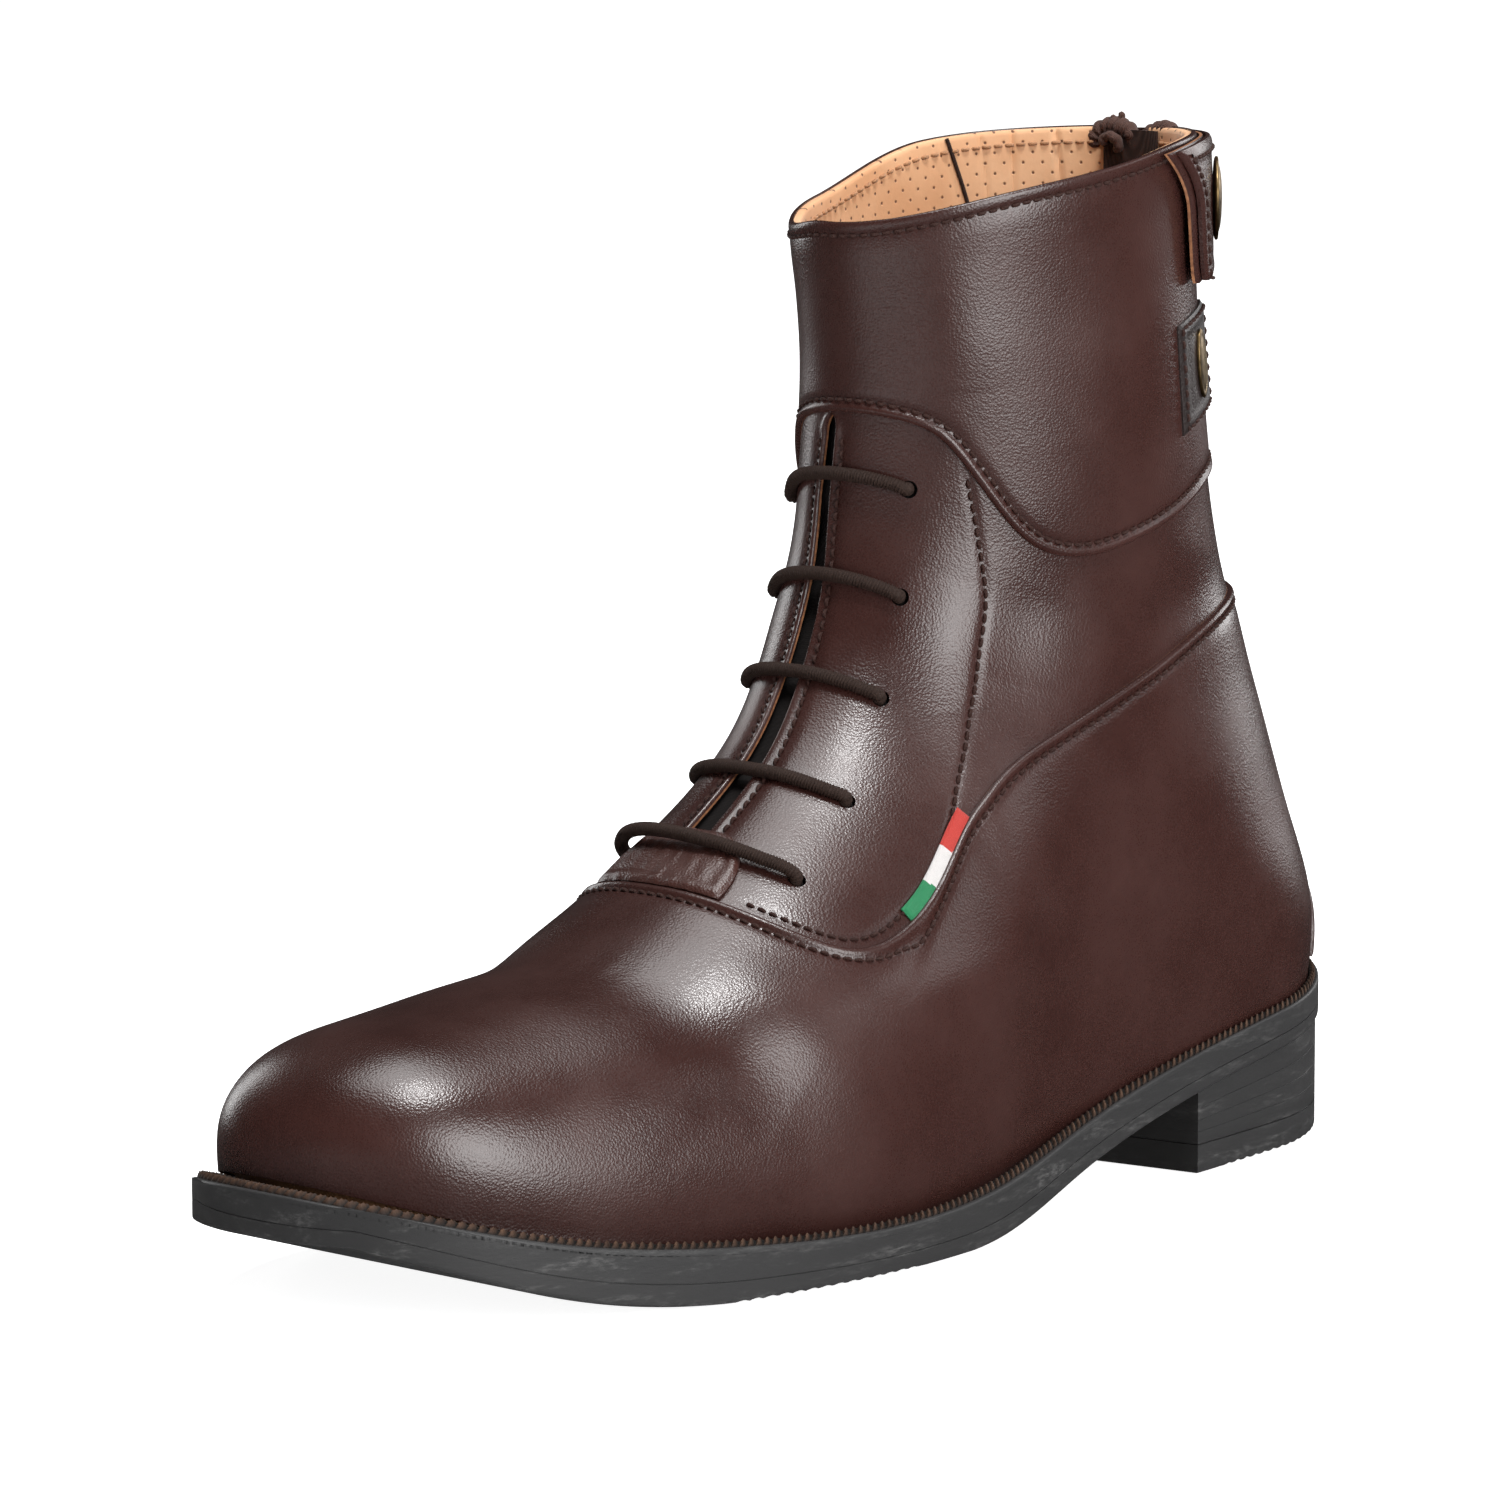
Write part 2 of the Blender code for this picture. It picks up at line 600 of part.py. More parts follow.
def make_upper():
    """One hollow wall from the sole to the collar, thicker where vamp and cuff lie over it."""
    rows, weights = [], []
    for band, rises in BAND_RISES.items():
        for rise in rises:
            rows.append(ring(band, rise, INSIDE_LIFT)[0])
            weights.append(WALL_MIDDLE / WALL_OVERLAY if band == MIDDLE else 1.0)
    points = np.array(rows)
    mesh = grid_mesh("upper", points, points - points.mean(axis=1, keepdims=True), closed=True)
    upper = add_object("upper", mesh, "brown_leather")
    wall = upper.vertex_groups.new(name="wall_thickness")
    for row, weight in enumerate(weights):
        wall.add(list(range(row * points.shape[1], (row + 1) * points.shape[1])), weight, "REPLACE")
    add_solidify(upper, WALL_OVERLAY).vertex_group = wall.name
    for cutter in (slit_cutter(), zip_cutter(), hole_cutter()):
        cut(upper, cutter)


def slit_cutter():
    rows = []
    for share in np.linspace(0, 1, 14):
        rise = SLIT_RISES[0] + share * (SLIT_RISES[1] - SLIT_RISES[0])
        half = SLIT_HALF_WIDTHS[0] + share * (SLIT_HALF_WIDTHS[1] - SLIT_HALF_WIDTHS[0])
        rows.append((MIDDLE, rise, SLIT_ARC + np.array([-half, half])))
    cutter = add_cutter("throat_slit", grid_mesh("throat_slit", *SKIN.patch(rows, True, 0.0)))
    add_solidify(cutter, CUTTER_DEPTH, 0.0)
    return cutter


def zip_rows(half_widths, foot, head):
    """Rows up the back line from a rise in the vamp to a rise past the collar."""
    rows = [(VAMP, rise, half_widths) for rise in np.linspace(foot, 0.9, 4)]
    rows += [(MIDDLE, rise, half_widths) for rise in (0.1, 0.5, 0.9)]
    rows += [(CUFF, rise, half_widths) for rise in np.linspace(0.1, head, 6)]
    return rows


def zip_cutter():
    edges = np.array([-ZIP_SLOT_HALF_WIDTH, ZIP_SLOT_HALF_WIDTH])
    rows = zip_rows(edges, ZIP_SLOT_FOOT, 1.15)
    cutter = add_cutter("zip_slot", grid_mesh("zip_slot", *SKIN.patch(rows, False, 0.0)))
    add_solidify(cutter, CUTTER_DEPTH, 0.0)
    return cutter


def lace_arcs(lateral_arc):
    return np.array([lateral_arc, 2 * SLIT_ARC - lateral_arc])


def hole_cutter():
    work = bmesh.new()
    for rise, lateral_arc in LACE_BARS:
        points, normals = SKIN.place(MIDDLE, rise, lace_arcs(lateral_arc), True, MIDDLE_LIFT)
        for point, normal in zip(points, normals):
            turn = Vector(normal).to_track_quat("Z", "Y").to_matrix().to_4x4()
            bmesh.ops.create_cone(work, cap_ends=True, segments=10, radius1=HOLE_RADIUS * MM,
                                  radius2=HOLE_RADIUS * MM, depth=CUTTER_DEPTH / 2 * MM,
                                  matrix=Matrix.Translation(Vector(point) * MM) @ turn)
    mesh = bpy.data.meshes.new("lace_holes")
    work.to_mesh(mesh)
    work.free()
    return add_cutter("lace_holes", mesh)


def make_tongue():
    rows = [(VAMP, rise) for rise in BAND_RISES[VAMP][-2:]]
    rows += [(MIDDLE, rise) for rise in BAND_RISES[MIDDLE]]
    rows += [(CUFF, rise) for rise in BAND_RISES[CUFF][:3]]
    columns = RING_SPANS + np.arange(-TONGUE_COLUMNS[0], TONGUE_COLUMNS[1] + 1)
    lift = INSIDE_LIFT - GAP - TONGUE_THICKNESS
    add_lining_sheet("tongue", rows, columns, lift, TONGUE_THICKNESS, "brown_leather")


def make_throat_tab():
    """Half-moon of thin leather that comes out from under the vamp and closes the throat below."""
    rows = []
    for share in np.linspace(0, 1, 7):
        half = 4.0 + 14.0 * math.sqrt(1 - share**2)
        rows.append((MIDDLE, 0.022 + 0.125 * share, SLIT_ARC + np.linspace(-half, half, 8)))
    add_sheet("throat_tab", rows, True, MIDDLE_LIFT + 1.6 * GAP, TRIM_THICKNESS, "brown_leather")


def make_laces():
    """Five straight bars that rise from their holes and cross the throat."""
    over = MIDDLE_LIFT + LACE_CLEARANCE + LACE_RADIUS
    for number, (rise, lateral_arc) in enumerate(LACE_BARS, start=1):
        outer_arc, inner_arc = lace_arcs(lateral_arc)
        arcs = np.linspace(inner_arc + LACE_RADIUS, outer_arc - LACE_RADIUS, 11)
        bar, _ = SKIN.place(MIDDLE, rise, arcs, True, over + throat_tab_lift(rise))
        ends = [SKIN.place(MIDDLE, rise, lace_arcs(lateral_arc), True, lift)[0]
                for lift in (MIDDLE_LIFT - LACE_END_DEPTH, MIDDLE_LIFT + LACE_RADIUS / 2)]
        path = [ends[0][1], ends[1][1], *bar, ends[1][0], ends[0][0]]
        curve = bpy.data.curves.new(f"lace_bar_{number}", "CURVE")
        curve.dimensions = "3D"
        curve.bevel_depth = LACE_RADIUS * MM
        curve.bevel_resolution = 2
        curve.use_fill_caps = True
        spline = curve.splines.new("POLY")
        spline.points.add(len(path) - 1)
        for spot, point in zip(spline.points, path):
            spot.co = (*(point * MM), 1.0)
        curve.materials.append(new_material(curve.name, "elastic_cord"))
        obj = bpy.data.objects.new(curve.name, curve)
        PARTS.objects.link(obj)
        obj.parent = ROOT


def throat_tab_lift(rise):
    """The lowest bar lies over the throat tab."""
    return TRIM_THICKNESS + GAP if rise < 0.2 else 0.0


def make_zip():
    rows = [(VAMP, rise) for rise in BAND_RISES[VAMP][3:]]
    rows += [(MIDDLE, rise) for rise in BAND_RISES[MIDDLE]]
    rows += [(CUFF, rise) for rise in (*BAND_RISES[CUFF], 1 + ZIP_END_RISE)]
    columns = np.arange(-TAPE_COLUMNS, TAPE_COLUMNS + 1)
    lift = INSIDE_LIFT - GAP - TAPE_THICKNESS
    add_lining_sheet("zip_tape", rows, columns, lift, TAPE_THICKNESS, "zip_tape")
    chain_edges = np.linspace(-CHAIN_HALF_WIDTH, CHAIN_HALF_WIDTH, 3)
    rows = zip_rows(chain_edges, ZIP_SLOT_FOOT + 0.02, 1 + ZIP_END_RISE)
    add_sheet("zip_chain", rows, False, lift + TAPE_THICKNESS + GAP, CHAIN_THICKNESS, "zip_teeth")


def make_snap_tab():
    """Flap over the top of the zip, from the inner side round the back to the outer side."""
    rows = []
    for rise, edge in ((0.60, 37.0), (0.64, 40.0), (0.81, 42.0), (0.9, 46.5), (0.985, 52.0)):
        rows.append((CUFF, rise, np.linspace(-24.0, edge, 13)))
    lift = OVERLAY_LIFT + TAB_STAND_OFF
    add_sheet("snap_tab", rows, False, lift, TAB_THICKNESS, "brown_leather")
    make_snap_cap(lift + TAB_THICKNESS + GAP)


def make_snap_cap(lift):
    """Domed press stud, turned round its own axis."""
    profile = ((0.0, 1.0), (0.45, 0.93), (0.8, 0.7), (0.96, 0.4), (1.0, 0.2), (0.9, 0.0), (0.0, 0.0))
    mesh = bpy.data.meshes.new("snap_cap")
    points = [(radius * CAP_RADIUS * MM, 0.0, height * CAP_HEIGHT * MM) for radius, height in profile]
    mesh.from_pydata(points, [(i, i + 1) for i in range(len(points) - 1)], [])
    cap = add_object("snap_cap", mesh, "antique_brass")
    screw = cap.modifiers.new("turned", "SCREW")
    screw.steps = screw.render_steps = 18
    screw.use_merge_vertices = True
    screw.merge_threshold = 0.00001
    stand_on_skin(cap, CUFF, CAP_RISE, CAP_ARC, lift)


def stand_on_skin(obj, band, rise, arc, lift):
    points, normals = SKIN.place(band, rise, np.array([arc]), False, lift)
    turn = Vector(normals[0]).to_track_quat("Z", "Y").to_matrix().to_4x4()
    obj.matrix_world = Matrix.Translation(Vector(points[0]) * MM) @ turn


def make_badge():
    """Stitched patch on the outer side near the back, with a plain oval stud."""
    rows = [(CUFF, rise, np.linspace(24.0, 47.0, 7)) for rise in np.linspace(0.20, 0.50, 5)]
    add_sheet("badge_patch", rows, False, OVERLAY_LIFT + GAP, PATCH_THICKNESS, "brown_leather")
    mesh = bpy.data.meshes.new("badge_plate")
    work = bmesh.new()
    stretch = Matrix.Diagonal((3.2 * MM, 7.0 * MM, PLATE_HEIGHT * MM, 1.0))
    raised = Matrix.Translation((0.0, 0.0, PLATE_HEIGHT / 2 * MM))
    bmesh.ops.create_cone(work, cap_ends=True, segments=16, radius1=1.0, radius2=0.85, depth=1.0,
                          matrix=raised @ stretch)
    work.to_mesh(mesh)
    work.free()
    plate = add_object("badge_plate", mesh, "antique_brass")
    stand_on_skin(plate, CUFF, 0.35, 35.5, OVERLAY_LIFT + PATCH_THICKNESS + 2 * GAP)


def make_tape_tag():
    """Short ribbon caught in the vamp's seam on the outer side."""
    seam = SKIN.lines[MIDDLE](np.linspace(*TAG_SEAM_SHARES, 9))
    across = np.gradient(seam, axis=0) @ np.array([[0.0, -1.0], [1.0, 0.0]])
    across /= np.linalg.norm(across, axis=1, keepdims=True)
    points, normals = [], []
    for distance in np.linspace(*TAG_DISTANCES, 3):
        y, z = (seam + across * distance).T
        point = LAST.point(1, y, z)
        normal = LAST.normal(1, point)
        points.append(LAST.settle(point + normal * (MIDDLE_LIFT + TAG_STAND_OFF)))
        normals.append(normal)
    obj = add_object("tape_tag", grid_mesh("tape_tag", np.array(points), np.array(normals)), "woven_ribbon")
    add_solidify(obj, TRIM_THICKNESS)


def make_back_stay():
    """Small leather stay over the foot of the back seam."""
    rows = []
    for share in np.linspace(0, 1, 6):
        half = 8.0 + 15.0 * math.sqrt(1 - share**2)
        rows.append((VAMP, 0.05 + 0.19 * share, np.linspace(-half, half, 9)))
    add_sheet("back_stay", rows, False, OVERLAY_LIFT + GAP, STAY_THICKNESS, "brown_leather")


def main():
    make_outsole()
    make_heel()
    make_welt()
    make_insole()
    make_upper()
    make_tongue()
    make_throat_tab()
    make_laces()
    make_zip()
    make_snap_tab()
    make_badge()
    make_tape_tag()
    make_back_stay()


for old in list(bpy.data.objects):
    bpy.data.objects.remove(old)
PARTS = new_collection(OBJECT_NAME)
CUTTERS = new_collection("cutters")
ROOT = bpy.data.objects.new("boot", None)
PARTS.objects.link(ROOT)
main()
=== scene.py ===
"""Looks of the lace-up ankle boot for riding, left foot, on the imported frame.

The origin is the middle of the heel's ground face. The toe points along -Y, the outer (lateral) side
is +X and +Z is up. Sizes are in millimetres and become metres where meshes are made.
"""

import math

import bpy
import numpy as np
from mathutils import Matrix, Vector


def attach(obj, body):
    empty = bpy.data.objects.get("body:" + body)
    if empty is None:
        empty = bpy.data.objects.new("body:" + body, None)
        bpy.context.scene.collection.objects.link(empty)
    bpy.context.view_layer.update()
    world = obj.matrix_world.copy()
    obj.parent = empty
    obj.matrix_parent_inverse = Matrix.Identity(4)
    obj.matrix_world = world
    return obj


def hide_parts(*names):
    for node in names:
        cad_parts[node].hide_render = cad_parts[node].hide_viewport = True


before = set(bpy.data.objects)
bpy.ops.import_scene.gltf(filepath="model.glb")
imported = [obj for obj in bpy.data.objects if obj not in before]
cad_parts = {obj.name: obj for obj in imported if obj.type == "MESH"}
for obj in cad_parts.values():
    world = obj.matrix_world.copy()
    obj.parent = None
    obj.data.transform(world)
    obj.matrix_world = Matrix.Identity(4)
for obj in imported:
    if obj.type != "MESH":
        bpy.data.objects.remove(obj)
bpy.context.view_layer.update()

MM = 0.001
# Clearance between neighbouring pieces
GAP = 0.3

# Upper wall: the lined middle panel, and the vamp and cuff laid over it
WALL_MIDDLE = 1.8
WALL_OVERLAY = 2.6
INSIDE_LIFT = -2.2
OVERLAY_LIFT = INSIDE_LIFT + WALL_OVERLAY
MIDDLE_LIFT = INSIDE_LIFT + WALL_MIDDLE

# Sole
WELT_HEIGHT = 2.5
MARGIN_FOREFOOT = 5.4
MARGIN_HEEL = 2.6
MARGIN_BLEND = (-110.0, -20.0)
HEEL_LIFT_HEIGHT = 6.0
HEEL_INSET = 0.6
BREAST_CORNER = (35.5, -33.0)
BREAST_SLOPE = 0.18

# Throat, laces and zip
SLIT_ARC = -3.5
SLIT_RISES = (0.15, 0.975)
SLIT_HALF_WIDTHS = (3.2, 1.3)
TONGUE_THICKNESS = 1.5
ZIP_SLOT_HALF_WIDTH = 3.6
ZIP_SLOT_FOOT = 0.33
TAPE_THICKNESS = 0.9

# Small pieces on the outside
TAB_THICKNESS = 2.6
TAB_STAND_OFF = 0.9
CAP_ARC = 25.5
CAP_RISE = 0.80
PATCH_THICKNESS = 0.8
TRIM_THICKNESS = 0.7
STAY_THICKNESS = 1.5
TAG_SEAM_SHARES = (0.64, 0.80)
TAG_WIDTH = (-0.4, 2.5)

# Stations along the foot. sole_top is the top of the welt, lateral and medial are half-widths of the
# upper from the centre line, crown is the depth over which the section rounds over to the ridge and
# fullness its squareness.
FOOT_COLUMNS = ("y", "sole_top", "sole_bottom", "lateral", "medial", "centre", "crown", "fullness")
FOOT_STATIONS = (
    (36.0, 34.5, 26.0, 31.0, 31.0, -3.6, 70.0, 2.1),
    (5.0, 31.0, 22.0, 32.0, 31.5, -0.5, 70.0, 2.1),
    (-35.0, 25.8, 16.5, 31.5, 30.0, 3.2, 72.0, 2.1),
    (-72.0, 18.0, 7.8, 32.0, 30.0, 3.6, 72.0, 2.1),
    (-105.0, 12.0, 0.7, 39.5, 37.0, 1.4, 66.0, 2.1),
    (-140.0, 10.2, 0.0, 45.6, 44.5, -2.5, 58.0, 2.2),
    (-176.0, 12.0, 0.0, 44.4, 45.5, -6.5, 50.0, 2.3),
    (-214.0, 17.6, 5.4, 41.0, 41.5, -12.0, 46.0, 2.4),
    (-247.0, 27.6, 17.3, 36.0, 35.0, -16.0, 44.0, 2.4),
)

# The ridge of toe, vamp, instep and shaft front, from the toe tip to the collar
FRONT_PROFILE = (
    (-246.5, 27.6),
    (-246.0, 34.5),
    (-242.0, 43.0),
    (-232.5, 49.8),
    (-215.0, 53.3),
    (-195.0, 55.6),
    (-172.0, 60.2),
    (-152.0, 70.0),
    (-135.0, 80.5),
    (-118.0, 92.0),
    (-105.0, 106.0),
    (-96.5, 121.0),
    (-92.0, 140.0),
    (-90.0, 160.0),
    (-90.0, 178.0),
    (-91.0, 195.0),
)

# Levels of heel and shaft: the back line, half-widths, how far the shaft leans inwards, and the depth
# over which the section tapers to the back line.
SHAFT_COLUMNS = ("z", "back", "lateral", "medial", "lean", "taper")
SHAFT_LEVELS = (
    (34.5, 32.5, 31.0, 31.0, 0.0, 36.0),
    (50.0, 32.8, 31.5, 31.0, 0.0, 42.0),
    (66.0, 27.9, 30.0, 29.5, 0.0, 54.0),
    (86.0, 21.1, 29.5, 29.0, -1.5, 60.0),
    (109.0, 13.8, 30.0, 29.5, -3.5, 58.0),
    (131.0, 8.0, 31.5, 31.0, -5.5, 52.0),
    (150.0, 4.7, 33.0, 32.5, -7.0, 48.0),
    (170.0, 2.8, 33.6, 33.5, -8.2, 47.0),
    (206.0, 3.5, 34.5, 34.0, -10.0, 47.0),
)
SHAFT_ROUND = 48.0

# The ridge stands off the shaft's middle towards the inner side and comes back higher up. Its line is
# carried on steeply past its top. The inner side of the instep is fuller than the outer one, and the rim
# dips at its inner front.
RIDGE_SHIFT = -4.5
RIDGE_RANGE = (35.0, 95.0)
RIDGE_RETURN = 0.75
RETURN_RANGE = (130.0, 172.0)
MEDIAL_FULLNESS = 0.85
MEDIAL_RANGES = ((52.0, 90.0), (100.0, 138.0))
RIM_DIP = 4.0
RIM_DIP_RANGES = ((176.0, 194.0), (4.0, 24.0), (28.0, 62.0))
RIDGE_CLIMB = 10.0

# How the lean, the foot and the shaft blend into one another
RIM_TILT = 0.06
RIM_TILT_RANGE = (95.0, 190.0)
WIDTH_BLEND = (45.0, 120.0)
CROWN_BLEND = (80.0, 140.0)
UPRIGHT_BLEND = (108.0, 150.0)
END_PULL = 4
TUCK = 0.05
TUCK_HEIGHT = 16.0
HEEL_SEAT_Z = 34.5

# Lines round the upper in the side view (y, z), from the back to the front
VAMP_SEAM = (
    (14.0, 113.0), (-5.0, 111.5), (-20.0, 108.5), (-46.0, 101.0), (-67.0, 94.0), (-85.0, 87.0),
    (-98.0, 78.0), (-110.0, 68.5), (-122.0, 62.5), (-134.0, 61.0), (-142.0, 64.5), (-150.0, 71.0),
)
CUFF_SEAM = (
    (6.5, 139.5), (-14.0, 136.0), (-28.0, 132.0), (-44.0, 128.5), (-57.0, 127.0), (-66.0, 129.5),
    (-73.5, 137.5), (-79.5, 147.5), (-84.0, 153.5), (-90.2, 157.0),
)
COLLAR_LINE = ((3.5, 205.5), (-25.0, 205.0), (-50.0, 202.0), (-72.0, 199.0), (-90.8, 194.5))

# Bands of the upper between those lines
VAMP, MIDDLE, CUFF = 0, 1, 2

# Lace bars from the top down: rise in the middle panel and the arc of the lateral hole
LACE_BARS = ((0.89, 15.5), (0.71, 16.0), (0.525, 16.5), (0.31, 19.0), (0.11, 22.0))

# Thread, edges and cord
STITCH_PITCH = 2.4
STITCH_LENGTH = 1.95
THREAD_RADIUS = 0.38
THREAD_SIDES = 6
GROOVE_DEPTH = 0.38
GROOVE_WIDTH = 0.95
LEATHER = 1.0
LACE_LOOK_RADIUS = 1.28
LACE_RIB = (0.11, 0.62, 1)
LACE_SINK = 0.15
LACE_END_LIFTS = (-3.0, -1.2, 0.35)

# Columns and inner rows of the leather panels, and the vamp's lowest rows, which run down behind the welt
VAMP_GRID, QUARTER_GRID, CUFF_GRID = (330, 62), (190, 110), (220, 46)
VAMP_FOOT = (-1.1, 0.8, 2.6)
EDGE_STEP = 0.02

# Folded edge of vamp and cuff where they lie over the middle panel: distance from the edge, lift
FOLDED_EDGE = (
    (0.0, -0.36), (0.0, -0.12), (0.06, 0.28), (0.28, 0.62), (0.62, 0.82), (1.0, 0.84), (1.35, 0.70),
    (1.65, 0.48), (2.0, 0.24), (2.4, 0.08), (2.8, 0.13), (3.4, 0.32), (4.4, 0.40), (6.0, 0.40),
)
# The collar's edge, turned in against the lining
ROLLED_EDGE = (
    (0.45, -0.62), (0.12, -0.52), (0.0, -0.25), (0.03, 0.08), (0.18, 0.30), (0.5, 0.42), (1.0, 0.46),
    (1.6, 0.45), (2.0, 0.36), (2.4, 0.22), (2.7, 0.17), (3.0, 0.23), (3.7, 0.37), (7.0, 0.40),
)
# The lining below the rim, and at its other edges: distance and lift of its inside
LINING_EDGE = ((0.3, -1.5), (0.4, -1.85), (0.7, -2.1), (1.4, -2.2), (3.0, -2.2), (6.0, -2.2))
LINING_PLAIN_EDGE = ((-0.4, -2.2), (1.0, -2.2), (3.0, -2.2))
# The middle panel runs on under vamp and cuff
TUCKED_EDGE = ((-3.0, -0.42), (-1.2, -0.42), (0.4, -0.4), (1.5, -0.4), (3.0, -0.4))
# Columns near the throat's and the zip's edges: distance and drop
CLOSE_COLUMNS = (0.0, 0.05, 0.22, 0.55, 1.1, 1.8, 2.6, 3.6, 5.0)
EDGE_DROP = (-0.55, -0.12, 0.16, 0.26, 0.14, -0.07, -0.08, 0.0, 0.0)

# Creases and soft folds: side (1 outer, -1 inner, 0 both), the line's ends and middle in the side view,
# half-width and height
CREASE_SPOTS = 26
CREASE_COLUMNS = ("side", "y0", "z0", "y1", "z1", "y2", "z2", "width", "height")
CREASES = (
    (0, -176, 60, -170, 50, -158, 36, 9.5, -0.95),
    (0, -192, 57, -188, 47, -180, 34, 13.0, 0.45),
    (0, -161, 65, -155, 54, -144, 38, 9.0, 0.40),
    (0, -150, 71, -144, 58, -134, 42, 8.0, -0.30),
    (1, -150, 52, -138, 45, -122, 42, 6.0, -0.35),
    (1, -86, 100, -84, 112, -80, 124, 7.0, 0.45),
    (1, -74, 104, -70, 114, -66, 122, 8.0, -0.5),
    (1, -40, 118, -30, 122, -15, 122, 7.0, 0.5),
    (1, -46, 108, -30, 114, -12, 117, 6.0, -0.5),
    (1, -20, 104, -6, 106, 10, 106, 8.0, 0.45),
    (1, -82, 186, -80, 172, -79, 160, 9.0, 0.4),
    (1, -64, 190, -62, 172, -60, 150, 11.0, -0.45),
    (1, -40, 192, -36, 170, -36, 146, 12.0, 0.45),
    (-1, -60, 190, -56, 170, -54, 150, 12.0, -0.5),
    (-1, -30, 188, -28, 168, -30, 146, 12.0, 0.5),
    (-1, -46, 108, -30, 114, -12, 117, 7.0, -0.5),
    (-1, -40, 118, -30, 122, -15, 122, 7.0, 0.5),
    (-1, -150, 52, -138, 45, -122, 42, 6.0, -0.35),
)

# Edges of sewn-on pieces, from the outermost line of their grid inwards
WORN_EDGE = (-0.3, -0.1, 0.0)
BEADED_EDGE = (-0.5, -0.05, 0.16, 0.14, -0.02, -0.08, -0.03, 0.0)
TAB_EDGE = (-0.5, -0.14, 0.04, 0.08, 0.05, -0.02, -0.06, -0.02, 0.0)

# Ends of the zip's tape: route from the middle of the tape's top edge, and radius
ZIP_ENDS = (
    (((-9.5, -1.0, -4.5), (-9.2, -0.6, -0.6), (-6.6, 0.0, 0.6), (-3.6, 0.2, 0.3), (-1.4, 0.2, -0.6),
      (-1.2, 0.4, -4.0)), 1.9),
    (((-6.8, -2.6, -3.2), (-5.6, -2.9, -1.4), (-3.6, -2.9, -1.3), (-2.6, -2.4, -3.0),
      (-3.8, -2.2, -4.2)), 1.1),
    (((-5.4, 0.6, 0.4), (-4.6, 0.8, 2.0), (-4.5, 0.8, 3.6)), 0.75),
    (((-6.4, 0.2, 0.8), (-6.2, 0.2, 2.0), (-5.6, 0.3, 2.6)), 0.7),
    (((1.8, 0.8, -4.2), (2.0, 1.2, -1.0), (4.0, 1.5, 0.3), (7.0, 1.2, 0.7), (9.2, 0.4, 0.0),
      (9.8, 0.0, -3.5)), 1.8),
    (((3.4, 2.4, -1.6), (5.6, 2.8, -0.9), (8.0, 2.5, -1.1)), 0.9),
)

# Free edge of the snap tab: rise in the cuff and arc from the back line
TAB_FREE_EDGE = (
    (0.585, 35.5), (0.59, 37.5), (0.605, 38.6), (0.64, 39.3), (0.72, 40.2), (0.80, 41.2), (0.85, 42.6),
    (0.90, 45.4), (0.95, 49.2), (0.99, 52.6),
)
TAB_FLARE = 0.9
TAB_FLARE_RANGE = (-22.0, 0.0)
# Its two layers: name, lift, thickness, reach past the free edge, material of the cut edge, node replaced
TAB_OUTER_LIFT, TAB_OUTER_THICKNESS = 2.35, 1.25
TAB_LAYERS = (
    ("snap_tab_inner", 1.0, 1.1, 2.2, "raw_edge", ()),
    ("snap_tab_outer", TAB_OUTER_LIFT, TAB_OUTER_THICKNESS, 0.0, "leather", ["snap_tab"]),
)
TAB_BACK_ARC = -24.0

# Half-moons of leather: half-width at the tip, what the foot adds to it, power of the curve, rise of the
# foot and height
MOON_ROWS = 26
THROAT_MOON = (5.0, 11.6, 2.2, 0.004, 0.148)
STAY_MOON = (6.0, 17.0, 2.4, 0.035, 0.205)

# Turned pieces: radius and height, down the outer side. The plate's radius is stretched to an oval.
CAP_PROFILE = (
    (0.05, 1.75), (2.0, 1.72), (4.0, 1.62), (5.6, 1.42), (6.6, 1.17), (7.1, 0.97), (7.3, 0.86), (7.6, 0.9),
    (8.0, 0.98), (8.3, 0.9), (8.45, 0.65), (8.4, 0.4), (8.1, 0.22), (7.6, 0.1), (6.5, 0.0), (0.05, 0.0),
)
PLATE_PROFILE = (
    (0.02, 0.75), (0.5, 0.73), (0.72, 0.66), (0.8, 0.52), (0.84, 0.56), (0.92, 0.62), (0.98, 0.5),
    (1.0, 0.35), (0.97, 0.0), (0.02, 0.0),
)
PLATE_HALVES = (3.2, 7.0)
PLATE_PLACE = (0.35, 35.5)

# The patch and its stitches: ranges of the rise in the cuff and of the arc from the back line
PATCH_RANGES = ((0.20, 0.50), (24.0, 47.0))
PATCH_STITCHES = ((0.212, 0.488), (25.2, 45.8))

# Rope edge of the welt, from the sole's edge inwards: offset from the edge, share of the welt's height,
# how deep the notches bite, and how light the worn tips are
TOOTH_PITCH = 1.9
TOOTH_DEPTH = 1.45
TOOTH_SLANT = 0.5
TOOTH_SAMPLES = 10
WELT_COLUMNS = ("inset", "rise", "bite", "tip")
WELT_SECTION = (
    (0.0, 0.0, 0.0, 0.0), (0.0, 0.30, 0.0, 0.0), (0.1, 0.42, 0.0, 0.0), (0.35, 0.50, 0.0, 0.0),
    (0.75, 0.52, 0.0, 0.0), (0.95, 0.50, 0.0, 0.0), (1.0, 0.52, 0.25, 0.3), (1.15, 0.78, 0.7, 0.8),
    (1.45, 1.0, 1.0, 1.0), (2.0, 1.06, 0.9, 0.9), (2.6, 0.98, 0.5, 0.5), (3.0, 0.8, 0.1, 0.1),
    (3.1, 0.0, 0.0, 0.0),
)
BLACK_WELT_ROWS = 5

